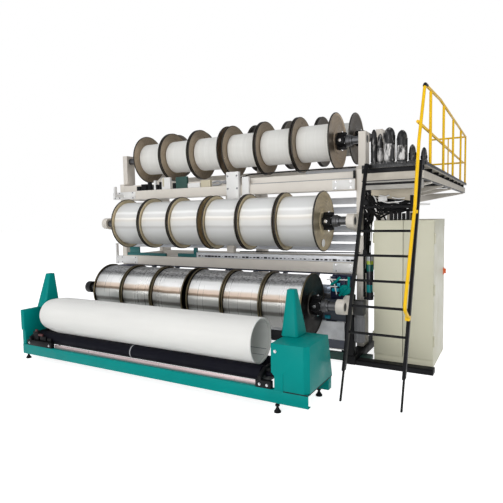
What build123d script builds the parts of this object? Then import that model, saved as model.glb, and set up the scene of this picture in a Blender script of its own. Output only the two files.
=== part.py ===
"""Warp knitting machine with sectional warp beams, a batching unit, a service deck and a cabinet.

Millimetres, +Z up, the front of the machine towards -Y. The origin is on the floor under the centre
sill, half way between the front and rear posts and half way between the third and fourth warp beam.
"""

from build123d import *
import math
import os

# Warp beams: 30 inch flanges, 21 inches over the flanges, six to a row
flange_d = 762.0
beam_width = 533.0
beam_gap = 12.0
centre_gap = 66.0
beams_per_side = 3
flange_t = 20.0
flange_lip = 15.0
flange_dish = 8.0
hub_r = 150.0
barrel_r = 110.0

# Beam shafts, their drivers and their bearings
shaft_r = 50.0
driver_r = 112.0
driver_len = 112.0
driver_lug_w = 86.0
driver_drum_r = 90.0
sleeve_r = 76.0
sleeve_len = 84.0
bearing_eye_r = 88.0
bearing_plate_t = 36.0
bearing_plate_half = 92.0

# Clearances
fit_gap = 0.3
shaft_clearance = 0.08
seat_gap = 0.3

# Beam rows: depth and height of each shaft, and the yarn still wound on its beams
top_row_y, top_row_z, top_yarn_r = -416.0, 2808.0, 246.0
middle_row_y, middle_row_z, middle_yarn_r = -954.0, 1757.0, 325.0
lower_row_y, lower_row_z, lower_yarn_r = -1353.0, 766.0, 358.0
rear_row_y, rear_row_z, rear_yarn_r = 450.0, 2960.0, 246.0

# Side frames
right_frame_x = 1955.0
left_frame_x = -2160.0
post_w = 95.0
post_depth = 240.0
post_front_y = -600.0
post_top_z = 2415.0
rear_post_front_y = 360.0
sill_h = 110.0
sill_w = 120.0
sill_front_y = -1060.0
sill_back_y = 700.0
leg_depth = 120.0
corner_r = 12.0

# Cross beams between the side frames
cross_front_y = -650.0
cross_depth = 180.0
lower_cross_z, lower_cross_h = 1065.0, 150.0
upper_cross_z, upper_cross_h = 2145.0, 145.0
upper_ledge_h = 95.0
upper_ledge_set_back = 50.0
rear_cross_z, rear_cross_h = 2400.0, 150.0
end_plate_len = 300.0
end_plate_t = 6.0
column_w = 120.0
column_depth = 85.0
left_cap_x = -2270.0
saddle_x, saddle_w = 60.0, 205.0
saddle_z, saddle_h = 2010.0, 470.0
saddle_depth = 65.0
clamp_x, clamp_w = 310.0, 110.0
clamp_drop, clamp_rise = 15.0, 110.0
clamp_t = 40.0
hook_x, hook_w = -2055.0, 30.0
hook_reach, hook_h = 200.0, 215.0
hook_t = 45.0

# Knitting bed, needle head and guide bars
bed_front_y, bed_depth = -900.0, 260.0
bed_z, bed_h = 430.0, 330.0
bed_corner_r = 40.0
bed_foot_w = 120.0
arm_root_z, arm_root_h = 520.0, 200.0
head_overhang = 40.0
head_h = 70.0
guide_bars = 4
guide_bar_h, guide_bar_t = 90.0, 26.0
guide_bar_pitch = 40.0
hanger_count = 7
hanger_w = 44.0
hanger_top_d = 80.0
housing_lean = 60.0

# Kick panel in front of the bed
kick_front_y = -960.0
kick_z, kick_h = 150.0, 340.0
kick_t = 12.0
kick_inset = 45.0

# Yarn plates behind the middle row
plate_count = 6
plate_depth, plate_t = 150.0, 5.0
plate_z, plate_pitch = 1390.0, 125.0
plate_tilt = 35.0
plate_y = -395.0

# Batching unit: rails, end frame and drive housing
unit_front_y = -2742.0
unit_back_y = -2110.0
rail_x1 = 2158.0
rail_z, rail_h = 95.0, 124.0
rail_depth = 60.0
rail_wall = 6.0
housing_x0, housing_h = 1786.0, 441.0
housing_chamfer = 45.0
housing_back_lean = 114.0
notch_w, notch_h = 31.0, 166.0
seam_w, seam_depth = 5.0, 4.0
seam_x, seam_h = 1908.0, 166.0
end_frame_x, end_frame_t = -1941.0, 61.0
end_set_back, end_notch_d, end_notch_z = 31.0, 14.0, 400.0
tie_front_y, tie_depth, tie_h = -2190.0, 60.0, 90.0
rear_base_x, rear_base_front_y, rear_base_back_y = 1908.0, -2218.0, -2136.0

# Batching unit: towers, feet and small pieces
tower_base_w, tower_base_d = 184.0, 250.0
tower_top_w, tower_top_d = 84.0, 90.0
tower_base_x, tower_top_x = 1757.0, 1778.0
tower_base_y, tower_top_y = -2474.0, -2365.0
tower_top_z = 1108.0
tower_edge = 22.0
foot_r, foot_t, foot_stem_r = 34.0, 12.0, 12.0
foot_inset = 50.0
right_foot_x = 1834.0
strip_x0, strip_x1 = -1300.0, 1610.0
strip_h, strip_t = 47.0, 8.0
strip_set_back = 38.0
guide_block_x = 1636.0
guide_block_drop, guide_block_rise = 50.0, 50.0
guide_block_y, guide_block_d = -2440.0, 80.0

# Cloth roll on its two surface rollers
roll_x0, roll_x1 = -1643.0, 1539.0
roll_y, roll_z = -2461.0, 587.0
roll_r, roll_wall = 235.0, 14.0
roller_r = 75.0
roller_spread = 150.0
roller_end_gap = 5.0
journal_r = 25.0
carrier_right_x, carrier_left_x = 1640.0, -1744.0
carrier_t = 36.0
carrier_top_z = 380.0
carrier_slope = 110.0
lug_d, lug_h = 52.0, 70.0
lug_right_x = (1615.0, 1780.0)
lug_left_x = (-1785.0, -1320.0)

# Service deck
deck_x0, deck_x1 = 2170.0, 2885.0
deck_front_y, deck_back_y = -1100.0, 3700.0
deck_z, deck_t = 2400.0, 40.0
deck_lip = 25.0
joist_h, joist_w, joist_pitch = 50.0, 40.0, 560.0
channel_h, channel_w, channel_wall = 100.0, 50.0, 8.0
front_beam_h, front_beam_w = 95.0, 60.0
front_beam_inset = 10.0
cantilever_root_h, cantilever_tip_h = 175.0, 20.0
cantilever_root, cantilever_w = 80.0, 80.0
front_cantilever_y, rear_cantilever_y = -520.0, 480.0
deck_column_x, deck_column_w = 1905.0, 80.0
deck_column_ys = (1450.0, 3420.0)
deck_column_foot_w, deck_column_foot_t = 200.0, 12.0

# Guard rail round the deck
rail_tube_r = 17.0
thin_tube_r = 12.0
guard_x = 2859.0
guard_top_z, guard_mid_z = 3300.0, 2800.0
guard_start_y, guard_start_z = -1073.0, 3229.0
guard_mid_start_y = -1290.0
guard_bend_y = 100.0
guard_post_ys = (-670.0, 460.0, 1580.0, 2740.0, 3650.0)
guard_end_x, guard_thin_x = 2195.0, 2545.0
post_foot_w, post_foot_t = 50.0, 8.0

# Ladder and its handrail
ladder_x0, ladder_x1 = 2272.0, 2859.0
ladder_foot_y, ladder_slope = -2200.0, 0.392
stringer_w, stringer_d = 30.0, 62.0
stringer_z = 280.0
leg_w = 20.0
rung_first_z, rung_pitch, rung_count = 640.0, 254.0, 7
rung_r = 13.0
handrail_low_z, handrail_kink_y, handrail_kink_z = 830.0, -2087.0, 939.0
handrail_mid_y, handrail_mid_z = -1601.0, 1919.0
handrail_high_y, handrail_high_z = -1407.0, 2588.0
handrail_bend_r = 60.0
handrail_stand_off = 3.5
handrail_end_gap = 1.4

# Pattern drives on the deck: place along X, width and top of each
drives = (
    (2208.0, 68.0, 2870.0), (2284.0, 68.0, 2810.0), (2396.0, 130.0, 2876.0),
    (2544.0, 120.0, 2830.0), (2664.0, 80.0, 2650.0), (2795.0, 70.0, 2605.0),
)
drive_y = -700.0
drive_base_h, drive_base_margin = 60.0, 3.0
drive_cap_h = 45.0

# Sloped drive cover under the deck
cover_x0, cover_x1 = 2190.0, 2680.0
cover_front_y, cover_depth = -760.0, 200.0
cover_left_drop, cover_right_drop = 50.0, 134.0

# Let-off motor and signal column at the right side frame
gearbox_top, gearbox_h, gearbox_w = 790.0, 170.0, 126.0
motor_r, motor_len = 60.0, 340.0
signal_x, signal_y, signal_r = 2122.0, -560.0, 44.0
signal_z, signal_h = 728.0, 583.0
signal_arm_h = 30.0

# Cabinet
cabinet_x0, cabinet_x1 = 2235.0, 2930.0
cabinet_front_y, cabinet_back_y = -800.0, 100.0
cabinet_headroom = 226.0
cabinet_wall = 20.0
cabinet_base_h = 106.0
door_t = 22.0
door_gap = 6.0
door_margin = 2.0
hinge_r = 9.0
knuckle_h = 60.0
knuckle_gap = 1.0
hinge_inset = 214.0
hinges_per_door = 3
switch_y, switch_z, switch_r = 50.0, 1070.0, 32.0
switch_plate_w, switch_plate_t = 90.0, 6.0
switch_reach = 24.0
switch_grip_w = 14.0

# Duct along the floor in front of the cabinet
duct_x1 = 2970.0
duct_front_y, duct_depth, duct_h = -1050.0, 145.0, 65.0

PARTS = "parts"

# Centres of the six warp beams along a shaft
beam_pitch = beam_width + beam_gap
first_beam_x = centre_gap / 2 + beam_width / 2
half_row = [first_beam_x + i * beam_pitch for i in range(beams_per_side)]
beam_xs = [-x for x in reversed(half_row)] + half_row
row_end_x = half_row[-1] + beam_width / 2
flange_r = flange_d / 2

# Faces that other pieces seat on
left_inner_x = left_frame_x + post_w
right_outer_x = right_frame_x + post_w
post_back_y = post_front_y + post_depth
rear_post_back_y = rear_post_front_y + post_depth
rear_post_top_z = rear_row_z - 2 * bearing_eye_r
cross_back_y = cross_front_y + cross_depth
column_front_y = cross_back_y - column_depth
ledge_y = cross_front_y + upper_ledge_set_back
upper_cross_top = upper_cross_z + upper_cross_h
ledge_z = upper_cross_top + upper_ledge_h
bed_back_y = bed_front_y + bed_depth
bed_top = bed_z + bed_h
head_x1 = row_end_x + head_overhang
head_top = bed_top + head_h
rail_top = rail_z + rail_h
rail_back_y = unit_front_y + rail_depth
end_frame_face = end_frame_x + end_frame_t
housing_top = rail_top + housing_h
roller_z = roll_z - math.sqrt((roll_r + roller_r + fit_gap) ** 2 - roller_spread ** 2)
joist_z = deck_z - deck_t - joist_h
channel_z = joist_z - channel_h
front_beam_z = channel_z - front_beam_h
cantilever_z = channel_z - cantilever_root_h
channel_x1 = deck_x1 - deck_lip
cabinet_h = front_beam_z - cover_right_drop - cabinet_headroom
hinge_pitch = (cabinet_h - cabinet_base_h - 2 * hinge_inset) / (hinges_per_door - 1)
hinge_zs = [cabinet_base_h + hinge_inset + i * hinge_pitch for i in range(hinges_per_door)]


def save(part, name):
    """Label one finished piece and write it under its own name."""
    part.label = name
    export_step(part, f"{PARTS}/{name}.step")


def block(x, y, z, mode=Mode.ADD):
    """Add a box to the part being built, between the low and high ends given along each axis."""
    centre = [(a + b) / 2 for a, b in (x, y, z)]
    with Locations(tuple(centre)):
        Box(x[1] - x[0], y[1] - y[0], z[1] - z[0], mode=mode)


def rod(start, end, radius):
    """Add a round bar to the part being built, from one point to another."""
    along = Vector(*end) - Vector(*start)
    with Locations(Plane(origin=start, z_dir=along).location):
        Cylinder(radius, along.length, align=(Align.CENTER, Align.CENTER, Align.MIN))


def side_plane(x):
    """The plane square to the shafts at x, with its own x towards the back and its own y up."""
    return Plane(origin=(x, 0, 0), x_dir=(0, 1, 0), z_dir=(1, 0, 0))


def front_plane(y):
    """The upright plane across the machine at y, seen from the back, with its own x along -X."""
    return Plane(origin=(0, y, 0), x_dir=(-1, 0, 0), z_dir=(0, 1, 0))


def side_profile(x, points):
    """A closed outline of (y, z) points on the side plane at x, as a face to extrude along +X."""
    with BuildSketch(side_plane(x)) as profile:
        with BuildLine():
            Polyline(*points, close=True)
        make_face()
    return profile.sketch


def front_profile(y, points):
    """A closed outline of (x, z) points on the upright plane at y, as a face to extrude along +Y."""
    with BuildSketch(front_plane(y)) as profile:
        with BuildLine():
            Polyline(*[(-x, z) for x, z in points], close=True)
        make_face()
    return profile.sketch


def make_spools(name, y, z):
    """Six flanged beams: a barrel between two dished flanges with a raised rim."""
    half = beam_width / 2
    outline = [
        (-half, shaft_r + fit_gap),
        (-half, hub_r),
        (-half + flange_dish, flange_r - flange_lip),
        (-half, flange_r),
        (-half + flange_t, flange_r),
        (-half + flange_t, barrel_r),
    ]
    mirrored = [(-x, r) for x, r in reversed(outline)]
    with BuildPart() as spools:
        for centre in beam_xs:
            with BuildSketch(Plane(origin=(centre, y, z), x_dir=(1, 0, 0), z_dir=(0, -1, 0))):
                with BuildLine():
                    Polyline(*outline, *mirrored, close=True)
                make_face()
            revolve(axis=Axis((0, y, z), (1, 0, 0)))
    save(spools.part, f"{name}_spools")


def make_yarn(name, y, z, yarn_r):
    """The yarn wound on each beam, a sleeve just clear of the barrel and both flanges."""
    half = beam_width / 2 - flange_t - fit_gap
    with BuildPart() as yarn:
        for centre in beam_xs:
            with BuildSketch(side_plane(centre - half)):
                with Locations((y, z)):
                    Circle(yarn_r)
                    Circle(barrel_r + fit_gap, mode=Mode.SUBTRACT)
            extrude(amount=2 * half)
    save(yarn.part, f"{name}_yarn")


def make_shaft(name, y, z):
    """The shaft through the beams, with a lugged driver and a sleeve outside each end beam."""
    driver_x = row_end_x + seat_gap
    sleeve_x = driver_x + driver_len
    with BuildPart() as shaft:
        with BuildSketch(side_plane(left_frame_x)):
            with Locations((y, z)):
                Circle(shaft_r)
        extrude(amount=right_outer_x - left_frame_x)
        for x in (driver_x, -sleeve_x):
            with BuildSketch(side_plane(x)):
                with Locations((y, z)):
                    Circle(driver_drum_r)
                    Rectangle(2 * driver_r, driver_lug_w)
                    Rectangle(driver_lug_w, 2 * driver_r)
            extrude(amount=driver_len)
        for x in (sleeve_x, -sleeve_x - sleeve_len):
            with BuildSketch(side_plane(x)):
                with Locations((y, z)):
                    Circle(sleeve_r)
            extrude(amount=sleeve_len)
    save(shaft.part, f"{name}_shaft")


def upright_plate(y, z, foot_z):
    """The outline of a bearing plate that stands on a post and holds the shaft at y and z."""
    return (
        (y - bearing_plate_half, foot_z), (y + bearing_plate_half, foot_z),
        (y + bearing_plate_half, z + bearing_plate_half),
        (y - bearing_plate_half, z + bearing_plate_half),
    )


def bearing_profile(x, y, z, web):
    """The outline of a bearing arm at x: an eye round the shaft and a web back to its seat."""
    with BuildSketch(side_plane(x)) as profile:
        with BuildLine():
            Polyline(*web, close=True)
        make_face()
        with Locations((y, z)):
            Circle(bearing_eye_r)
            Circle(shaft_r + shaft_clearance, mode=Mode.SUBTRACT)
    return profile.sketch


def bearing_webs():
    """The outlines of the arms of each row: on the side frames, and in the centre gap."""
    drop = 1.6 * bearing_eye_r
    leg_front_y = sill_front_y
    top = (
        upright_plate(top_row_y, top_row_z, post_top_z),
        (
            (top_row_y, top_row_z), (ledge_y, ledge_z), (cross_back_y, ledge_z),
            (top_row_y + bearing_eye_r, top_row_z),
        ),
    )
    middle = tuple(
        (
            (middle_row_y, middle_row_z),
            (seat_y, middle_row_z + bearing_eye_r),
            (seat_y, middle_row_z - drop),
            (middle_row_y, middle_row_z - bearing_eye_r),
        )
        for seat_y in (post_front_y, column_front_y)
    )
    lower = (
        (
            (lower_row_y, lower_row_z),
            (leg_front_y, lower_row_z + bearing_eye_r),
            (leg_front_y, lower_row_z - drop),
            (lower_row_y, lower_row_z - bearing_eye_r),
        ),
        (
            (lower_row_y, lower_row_z),
            (bed_front_y, arm_root_z + arm_root_h),
            (bed_front_y, arm_root_z),
            (lower_row_y, lower_row_z - bearing_eye_r),
        ),
    )
    rear_beam_top = rear_cross_z + rear_cross_h
    rear = (
        upright_plate(rear_row_y, rear_row_z, rear_post_top_z),
        (
            (rear_row_y, rear_row_z),
            (rear_post_front_y, rear_beam_top),
            (rear_post_back_y, rear_beam_top),
            (rear_post_back_y, rear_row_z - bearing_eye_r),
        ),
    )
    return top, middle, lower, rear


def make_rows():
    """The four rows of warp beams with their shafts and bearings."""
    rows = (
        ("top", top_row_y, top_row_z, top_yarn_r),
        ("middle", middle_row_y, middle_row_z, middle_yarn_r),
        ("lower", lower_row_y, lower_row_z, lower_yarn_r),
        ("rear", rear_row_y, rear_row_z, rear_yarn_r),
    )
    for name, y, z, yarn_r in rows:
        make_spools(name, y, z)
        make_yarn(name, y, z, yarn_r)
        make_shaft(name, y, z)
    with BuildPart() as bearings:
        for (name, y, z, yarn_r), (side_web, centre_web) in zip(rows, bearing_webs()):
            for x in (left_frame_x, right_frame_x):
                extrude(bearing_profile(x, y, z, side_web), amount=post_w)
            extrude(bearing_profile(-bearing_plate_t / 2, y, z, centre_web), amount=bearing_plate_t)
    save(bearings.part, "beam_bearings")


def make_side_frames():
    """The sills on the floor, the four posts, the beams between them and the legs of the lower row."""
    with BuildPart() as sills:
        for x0 in (left_inner_x - sill_w, right_frame_x):
            block((x0, x0 + sill_w), (sill_front_y, sill_back_y), (0, sill_h))
        block((-column_w / 2, column_w / 2), (bed_front_y, sill_back_y), (0, sill_h))
    save(sills.part, "base_sills")

    with BuildPart() as posts:
        for x0 in (left_frame_x, right_frame_x):
            x = (x0, x0 + post_w)
            block(x, (post_front_y, post_back_y), (sill_h, post_top_z))
            block(x, (rear_post_front_y, rear_post_back_y), (sill_h, rear_post_top_z))
        fillet(posts.edges().filter_by(Axis.Z), corner_r)
    save(posts.part, "side_posts")

    with BuildPart() as side_beams:
        for x0 in (left_frame_x, right_frame_x):
            for z0, height in ((lower_cross_z, lower_cross_h), (upper_cross_z, upper_cross_h)):
                block((x0, x0 + post_w), (post_back_y, rear_post_front_y), (z0, z0 + height))
    save(side_beams.part, "side_beams")

    with BuildPart() as legs:
        for x0 in (left_frame_x, right_frame_x):
            block(
                (x0, x0 + post_w), (sill_front_y, sill_front_y + leg_depth),
                (sill_h, lower_row_z + bearing_eye_r),
            )
    save(legs.part, "lower_row_legs")


def make_cross_beams():
    """The beams from one side frame to the other, the centre columns and the fittings on the beams."""
    span = right_frame_x - left_inner_x
    with BuildPart() as beams:
        with BuildSketch(side_plane(left_inner_x)):
            with Locations(((cross_front_y + cross_back_y) / 2, lower_cross_z + lower_cross_h / 2)):
                RectangleRounded(cross_depth, lower_cross_h, corner_r)
        extrude(amount=span)
        upper = side_profile(left_inner_x, (
            (cross_front_y, upper_cross_z), (cross_back_y, upper_cross_z),
            (cross_back_y, ledge_z), (ledge_y, ledge_z),
            (ledge_y, upper_cross_top), (cross_front_y, upper_cross_top),
        ))
        extrude(upper, amount=span)
        for z0 in (lower_cross_z, rear_cross_z):
            block(
                (left_inner_x, right_frame_x), (rear_post_front_y, rear_post_back_y),
                (z0, z0 + rear_cross_h),
            )
    save(beams.part, "cross_beams")

    column_x = (-column_w / 2, column_w / 2)
    with BuildPart() as columns:
        for z0, z1 in ((sill_h, lower_cross_z), (lower_cross_z + lower_cross_h, upper_cross_z)):
            block(column_x, (column_front_y, cross_back_y), (z0, z1))
        for z0, z1 in ((sill_h, lower_cross_z), (lower_cross_z + rear_cross_h, rear_cross_z)):
            block(column_x, (rear_post_front_y, rear_post_back_y), (z0, z1))
    save(columns.part, "centre_columns")

    with BuildPart() as fittings:
        for x0 in (left_inner_x, right_frame_x - end_plate_len):
            for z0, height in ((lower_cross_z, lower_cross_h), (upper_cross_z, upper_cross_h)):
                block(
                    (x0, x0 + end_plate_len), (cross_front_y - end_plate_t, cross_front_y),
                    (z0 + corner_r, z0 + height - corner_r),
                )
        for z0, height in ((lower_cross_z, lower_cross_h), (upper_cross_z, upper_cross_h)):
            block(
                (left_cap_x, left_inner_x), (cross_front_y - end_plate_t, post_front_y),
                (z0 + corner_r, z0 + height - corner_r),
            )
        block(
            (saddle_x, saddle_x + saddle_w), (cross_front_y - saddle_depth, cross_front_y),
            (saddle_z, saddle_z + saddle_h),
        )
        block(
            (clamp_x, clamp_x + clamp_w), (cross_front_y - clamp_t, cross_front_y),
            (upper_cross_z - clamp_drop, upper_cross_top + clamp_rise),
        )
        hook = side_profile(hook_x, (
            (cross_front_y - end_plate_t, upper_cross_z + hook_t),
            (cross_front_y - end_plate_t, upper_cross_z + 2 * hook_t),
            (cross_front_y - hook_reach + hook_t, upper_cross_z + 2 * hook_t),
            (cross_front_y - hook_reach + hook_t, upper_cross_z + hook_h),
            (cross_front_y - hook_reach, upper_cross_z + hook_h),
            (cross_front_y - hook_reach, upper_cross_z + hook_t),
        ))
        extrude(hook, amount=hook_w)
    save(fittings.part, "beam_fittings")


def make_bed():
    """The bed casting on its feet and the kick panel in front of it."""
    bed_x = (left_inner_x, right_frame_x)
    with BuildPart() as bed:
        with BuildSketch(side_plane(bed_x[0])):
            with Locations((bed_front_y + bed_depth / 2, bed_z + bed_h / 2)):
                RectangleRounded(bed_depth, bed_h, bed_corner_r)
        extrude(amount=bed_x[1] - bed_x[0])
    save(bed.part, "bed_casting")

    foot_y = (bed_front_y + bed_corner_r, bed_back_y - bed_corner_r)
    with BuildPart() as feet:
        for x0 in (bed_x[0], bed_x[1] - bed_foot_w):
            block((x0, x0 + bed_foot_w), foot_y, (0, bed_z))
        block((-column_w / 2, column_w / 2), foot_y, (sill_h, bed_z))
    save(feet.part, "bed_feet")

    top = kick_z + kick_h
    back = kick_front_y + kick_t
    with BuildPart() as panel:
        folded = side_profile(left_inner_x + kick_inset, (
            (kick_front_y, kick_z), (back, kick_z), (back, top - kick_t),
            (bed_front_y, top - kick_t), (bed_front_y, top), (kick_front_y, top),
        ))
        extrude(folded, amount=right_frame_x - left_inner_x - 2 * kick_inset)
    save(panel.part, "kick_panel")


def make_head():
    """The needle head, the guide bars and their hangers, the end housings and the yarn plates."""
    front, back = bed_front_y + bed_corner_r, bed_back_y - bed_corner_r
    with BuildPart() as head:
        wedge = side_profile(-head_x1, (
            (front, bed_top), (back, bed_top), (back - bed_corner_r, head_top), (front, head_top),
        ))
        extrude(wedge, amount=2 * head_x1)
    save(head.part, "needle_head")

    bar_ys = [front + guide_bar_t / 2 + i * guide_bar_pitch for i in range(guide_bars)]
    bar_top = head_top + guide_bar_h
    with BuildPart() as bars:
        for bar_y in bar_ys:
            block(
                (-head_x1, head_x1), (bar_y - guide_bar_t / 2, bar_y + guide_bar_t / 2),
                (head_top, bar_top),
            )
    save(bars.part, "guide_bars")

    first_x = -head_x1 + beam_width / 2
    step = -2 * first_x / (hanger_count - 1)
    with BuildPart() as hangers:
        for i in range(hanger_count):
            arm = side_profile(first_x + i * step - hanger_w / 2, (
                (cross_front_y + corner_r, lower_cross_z),
                (cross_front_y + corner_r + hanger_top_d, lower_cross_z),
                (bar_ys[-1] + guide_bar_t / 2, bar_top),
                (bar_ys[0] - guide_bar_t / 2, bar_top),
            ))
            extrude(arm, amount=hanger_w)
    save(hangers.part, "guide_bar_hangers")

    with BuildPart() as housings:
        for x0, x1 in ((left_inner_x, -head_x1 - seat_gap), (head_x1 + seat_gap, right_frame_x)):
            end = side_profile(x0, (
                (front, bed_top), (back, bed_top), (back, lower_cross_z),
                (front + housing_lean, lower_cross_z), (front, lower_cross_z - housing_lean),
            ))
            extrude(end, amount=x1 - x0)
    save(housings.part, "head_end_housings")

    with BuildPart() as plates:
        for i in range(plate_count):
            lie = Plane(origin=(0, plate_y, plate_z + i * plate_pitch)).rotated((plate_tilt, 0, 0))
            with BuildSketch(lie):
                with Locations(((left_inner_x + right_frame_x) / 2, 0)):
                    Rectangle(right_frame_x - left_inner_x, plate_depth)
            extrude(amount=plate_t)
    save(plates.part, "yarn_plates")


def make_batching_frame():
    """The frame of the batching unit: rails, end frame, drive housing, towers and feet."""
    with BuildPart() as rail:
        section = side_profile(end_frame_face, (
            (unit_front_y, rail_z), (rail_back_y, rail_z), (rail_back_y, rail_z + rail_wall),
            (unit_front_y + rail_wall, rail_z + rail_wall),
            (unit_front_y + rail_wall, rail_top - rail_wall),
            (rail_back_y, rail_top - rail_wall), (rail_back_y, rail_top), (unit_front_y, rail_top),
        ))
        extrude(section, amount=rail_x1 - end_frame_face)
    save(rail.part, "batcher_front_rail")

    with BuildPart() as rear_beam:
        block(
            (end_frame_face, rear_base_x), (tie_front_y, tie_front_y + tie_depth),
            (rail_top - tie_h, rail_top),
        )
        block((rear_base_x, rail_x1), (rear_base_front_y, rear_base_back_y), (rail_z, rail_top))
    save(rear_beam.part, "batcher_rear_beam")

    with BuildPart() as housing:
        outline = front_profile(unit_front_y, (
            (housing_x0 + notch_w, rail_top), (rail_x1, rail_top), (rail_x1, housing_top),
            (housing_x0, housing_top), (housing_x0, rail_top + notch_h),
            (housing_x0 + notch_w, rail_top + notch_h - notch_w),
        ))
        extrude(outline, amount=unit_back_y - unit_front_y)
        lean = side_profile(housing_x0, (
            (unit_back_y, rail_top), (unit_back_y, housing_top),
            (unit_back_y - housing_back_lean, housing_top),
        ))
        extrude(lean, amount=rail_x1 - housing_x0, mode=Mode.SUBTRACT)
        corner = housing.edges().filter_by(Axis.Z).group_by(Axis.X)[-1].sort_by(Axis.Y)[0]
        chamfer(corner, housing_chamfer)
        seam_y = (unit_front_y, unit_front_y + seam_depth)
        block((seam_x, seam_x + seam_w), seam_y, (rail_top, rail_top + seam_h), Mode.SUBTRACT)
    save(housing.part, "batcher_drive_housing")

    end_front = unit_front_y + end_set_back
    end_low_front = end_front + end_notch_d
    with BuildPart() as end_frame:
        outline = side_profile(end_frame_x, (
            (end_low_front, rail_z), (unit_back_y, rail_z), (unit_back_y, housing_top),
            (end_front, housing_top), (end_front, end_notch_z),
            (end_low_front, end_notch_z - end_notch_d),
        ))
        extrude(outline, amount=end_frame_t)
    save(end_frame.part, "batcher_end_frame")

    with BuildPart() as towers:
        for side in (-1, 1):
            with BuildSketch(Plane.XY.offset(housing_top)):
                middle = (side * (tower_base_x + tower_base_w / 2), tower_base_y + tower_base_d / 2)
                with Locations(middle):
                    base = Rectangle(tower_base_w, tower_base_d)
                chamfer(base.vertices(), tower_edge)
            with BuildSketch(Plane.XY.offset(tower_top_z)):
                middle = (side * (tower_top_x + tower_top_w / 2), tower_top_y + tower_top_d / 2)
                with Locations(middle):
                    top = Rectangle(tower_top_w, tower_top_d)
                chamfer(top.vertices(), tower_edge / 2)
            loft()
    save(towers.part, "batcher_towers")

    end_frame_mid = end_frame_x + end_frame_t / 2
    rear_foot_y = unit_back_y - foot_inset
    places = (
        (end_frame_mid, end_low_front + foot_inset),
        (end_frame_mid, rear_foot_y),
        (right_foot_x, (unit_front_y + rail_back_y) / 2),
        ((rear_base_x + rail_x1) / 2, rear_foot_y),
    )
    with BuildPart() as feet:
        for x, y in places:
            rod((x, y, 0), (x, y, foot_t), foot_r)
            rod((x, y, foot_t), (x, y, rail_z), foot_stem_r)
    save(feet.part, "batcher_feet")


def make_batching_rolls():
    """The cloth roll, its two surface rollers, their carriers, the guide strip and guide block."""
    roller_ys = (roll_y - roller_spread, roll_y + roller_spread)
    with BuildPart() as roll:
        with BuildSketch(side_plane(roll_x0)):
            with Locations((roll_y, roll_z)):
                Circle(roll_r)
                Circle(roll_r - roll_wall, mode=Mode.SUBTRACT)
        extrude(amount=roll_x1 - roll_x0)
    save(roll.part, "cloth_roll")

    body_x = (carrier_left_x + carrier_t + roller_end_gap, carrier_right_x - roller_end_gap)
    journal_x = (carrier_left_x, housing_x0 + notch_w - seat_gap)
    for name, y in zip(("front", "rear"), roller_ys):
        with BuildPart() as roller:
            rod((body_x[0], y, roller_z), (body_x[1], y, roller_z), roller_r)
            rod((journal_x[0], y, roller_z), (journal_x[1], y, roller_z), journal_r)
        save(roller.part, f"{name}_roller")

    tie_back_y = tie_front_y + tie_depth
    slope = carrier_slope
    with BuildPart() as carriers:
        for x0 in (carrier_left_x, carrier_right_x):
            plate = side_profile(x0, (
                (unit_front_y, rail_top), (tie_back_y, rail_top), (tie_back_y, rail_top + slope / 2),
                (tie_back_y - slope, carrier_top_z), (unit_front_y + slope, carrier_top_z),
                (unit_front_y, carrier_top_z - slope / 2),
            ))
            extrude(plate, amount=carrier_t)
        for x in (lug_left_x, lug_right_x):
            block(x, (unit_front_y, unit_front_y + lug_d), (rail_top, rail_top + lug_h))
        with BuildSketch(side_plane(carrier_left_x)):
            with Locations(*[(y, roller_z) for y in roller_ys]):
                Circle(journal_r + shaft_clearance)
        extrude(amount=carrier_right_x + carrier_t - carrier_left_x, mode=Mode.SUBTRACT)
        guide = front_profile(guide_block_y, (
            (guide_block_x, housing_top - guide_block_drop),
            (housing_x0, housing_top - guide_block_drop), (housing_x0, housing_top),
            (tower_base_x, housing_top), (tower_base_x, housing_top + guide_block_rise),
            (guide_block_x, housing_top + guide_block_rise),
        ))
        extrude(guide, amount=guide_block_d)
    save(carriers.part, "roller_carriers")

    with BuildPart() as strip:
        strip_y = unit_front_y + strip_set_back
        block((strip_x0, strip_x1), (strip_y, strip_y + strip_t), (rail_top, rail_top + strip_h))
    save(strip.part, "guide_strip")


def channel_section(outer, inner):
    """A channel's section between its web side and its open side, as (x, z) points."""
    low, high = channel_z, channel_z + channel_h
    web = outer + math.copysign(channel_wall, inner - outer)
    return (
        (outer, low), (inner, low), (inner, low + channel_wall), (web, low + channel_wall),
        (web, high - channel_wall), (inner, high - channel_wall), (inner, high), (outer, high),
    )


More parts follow.
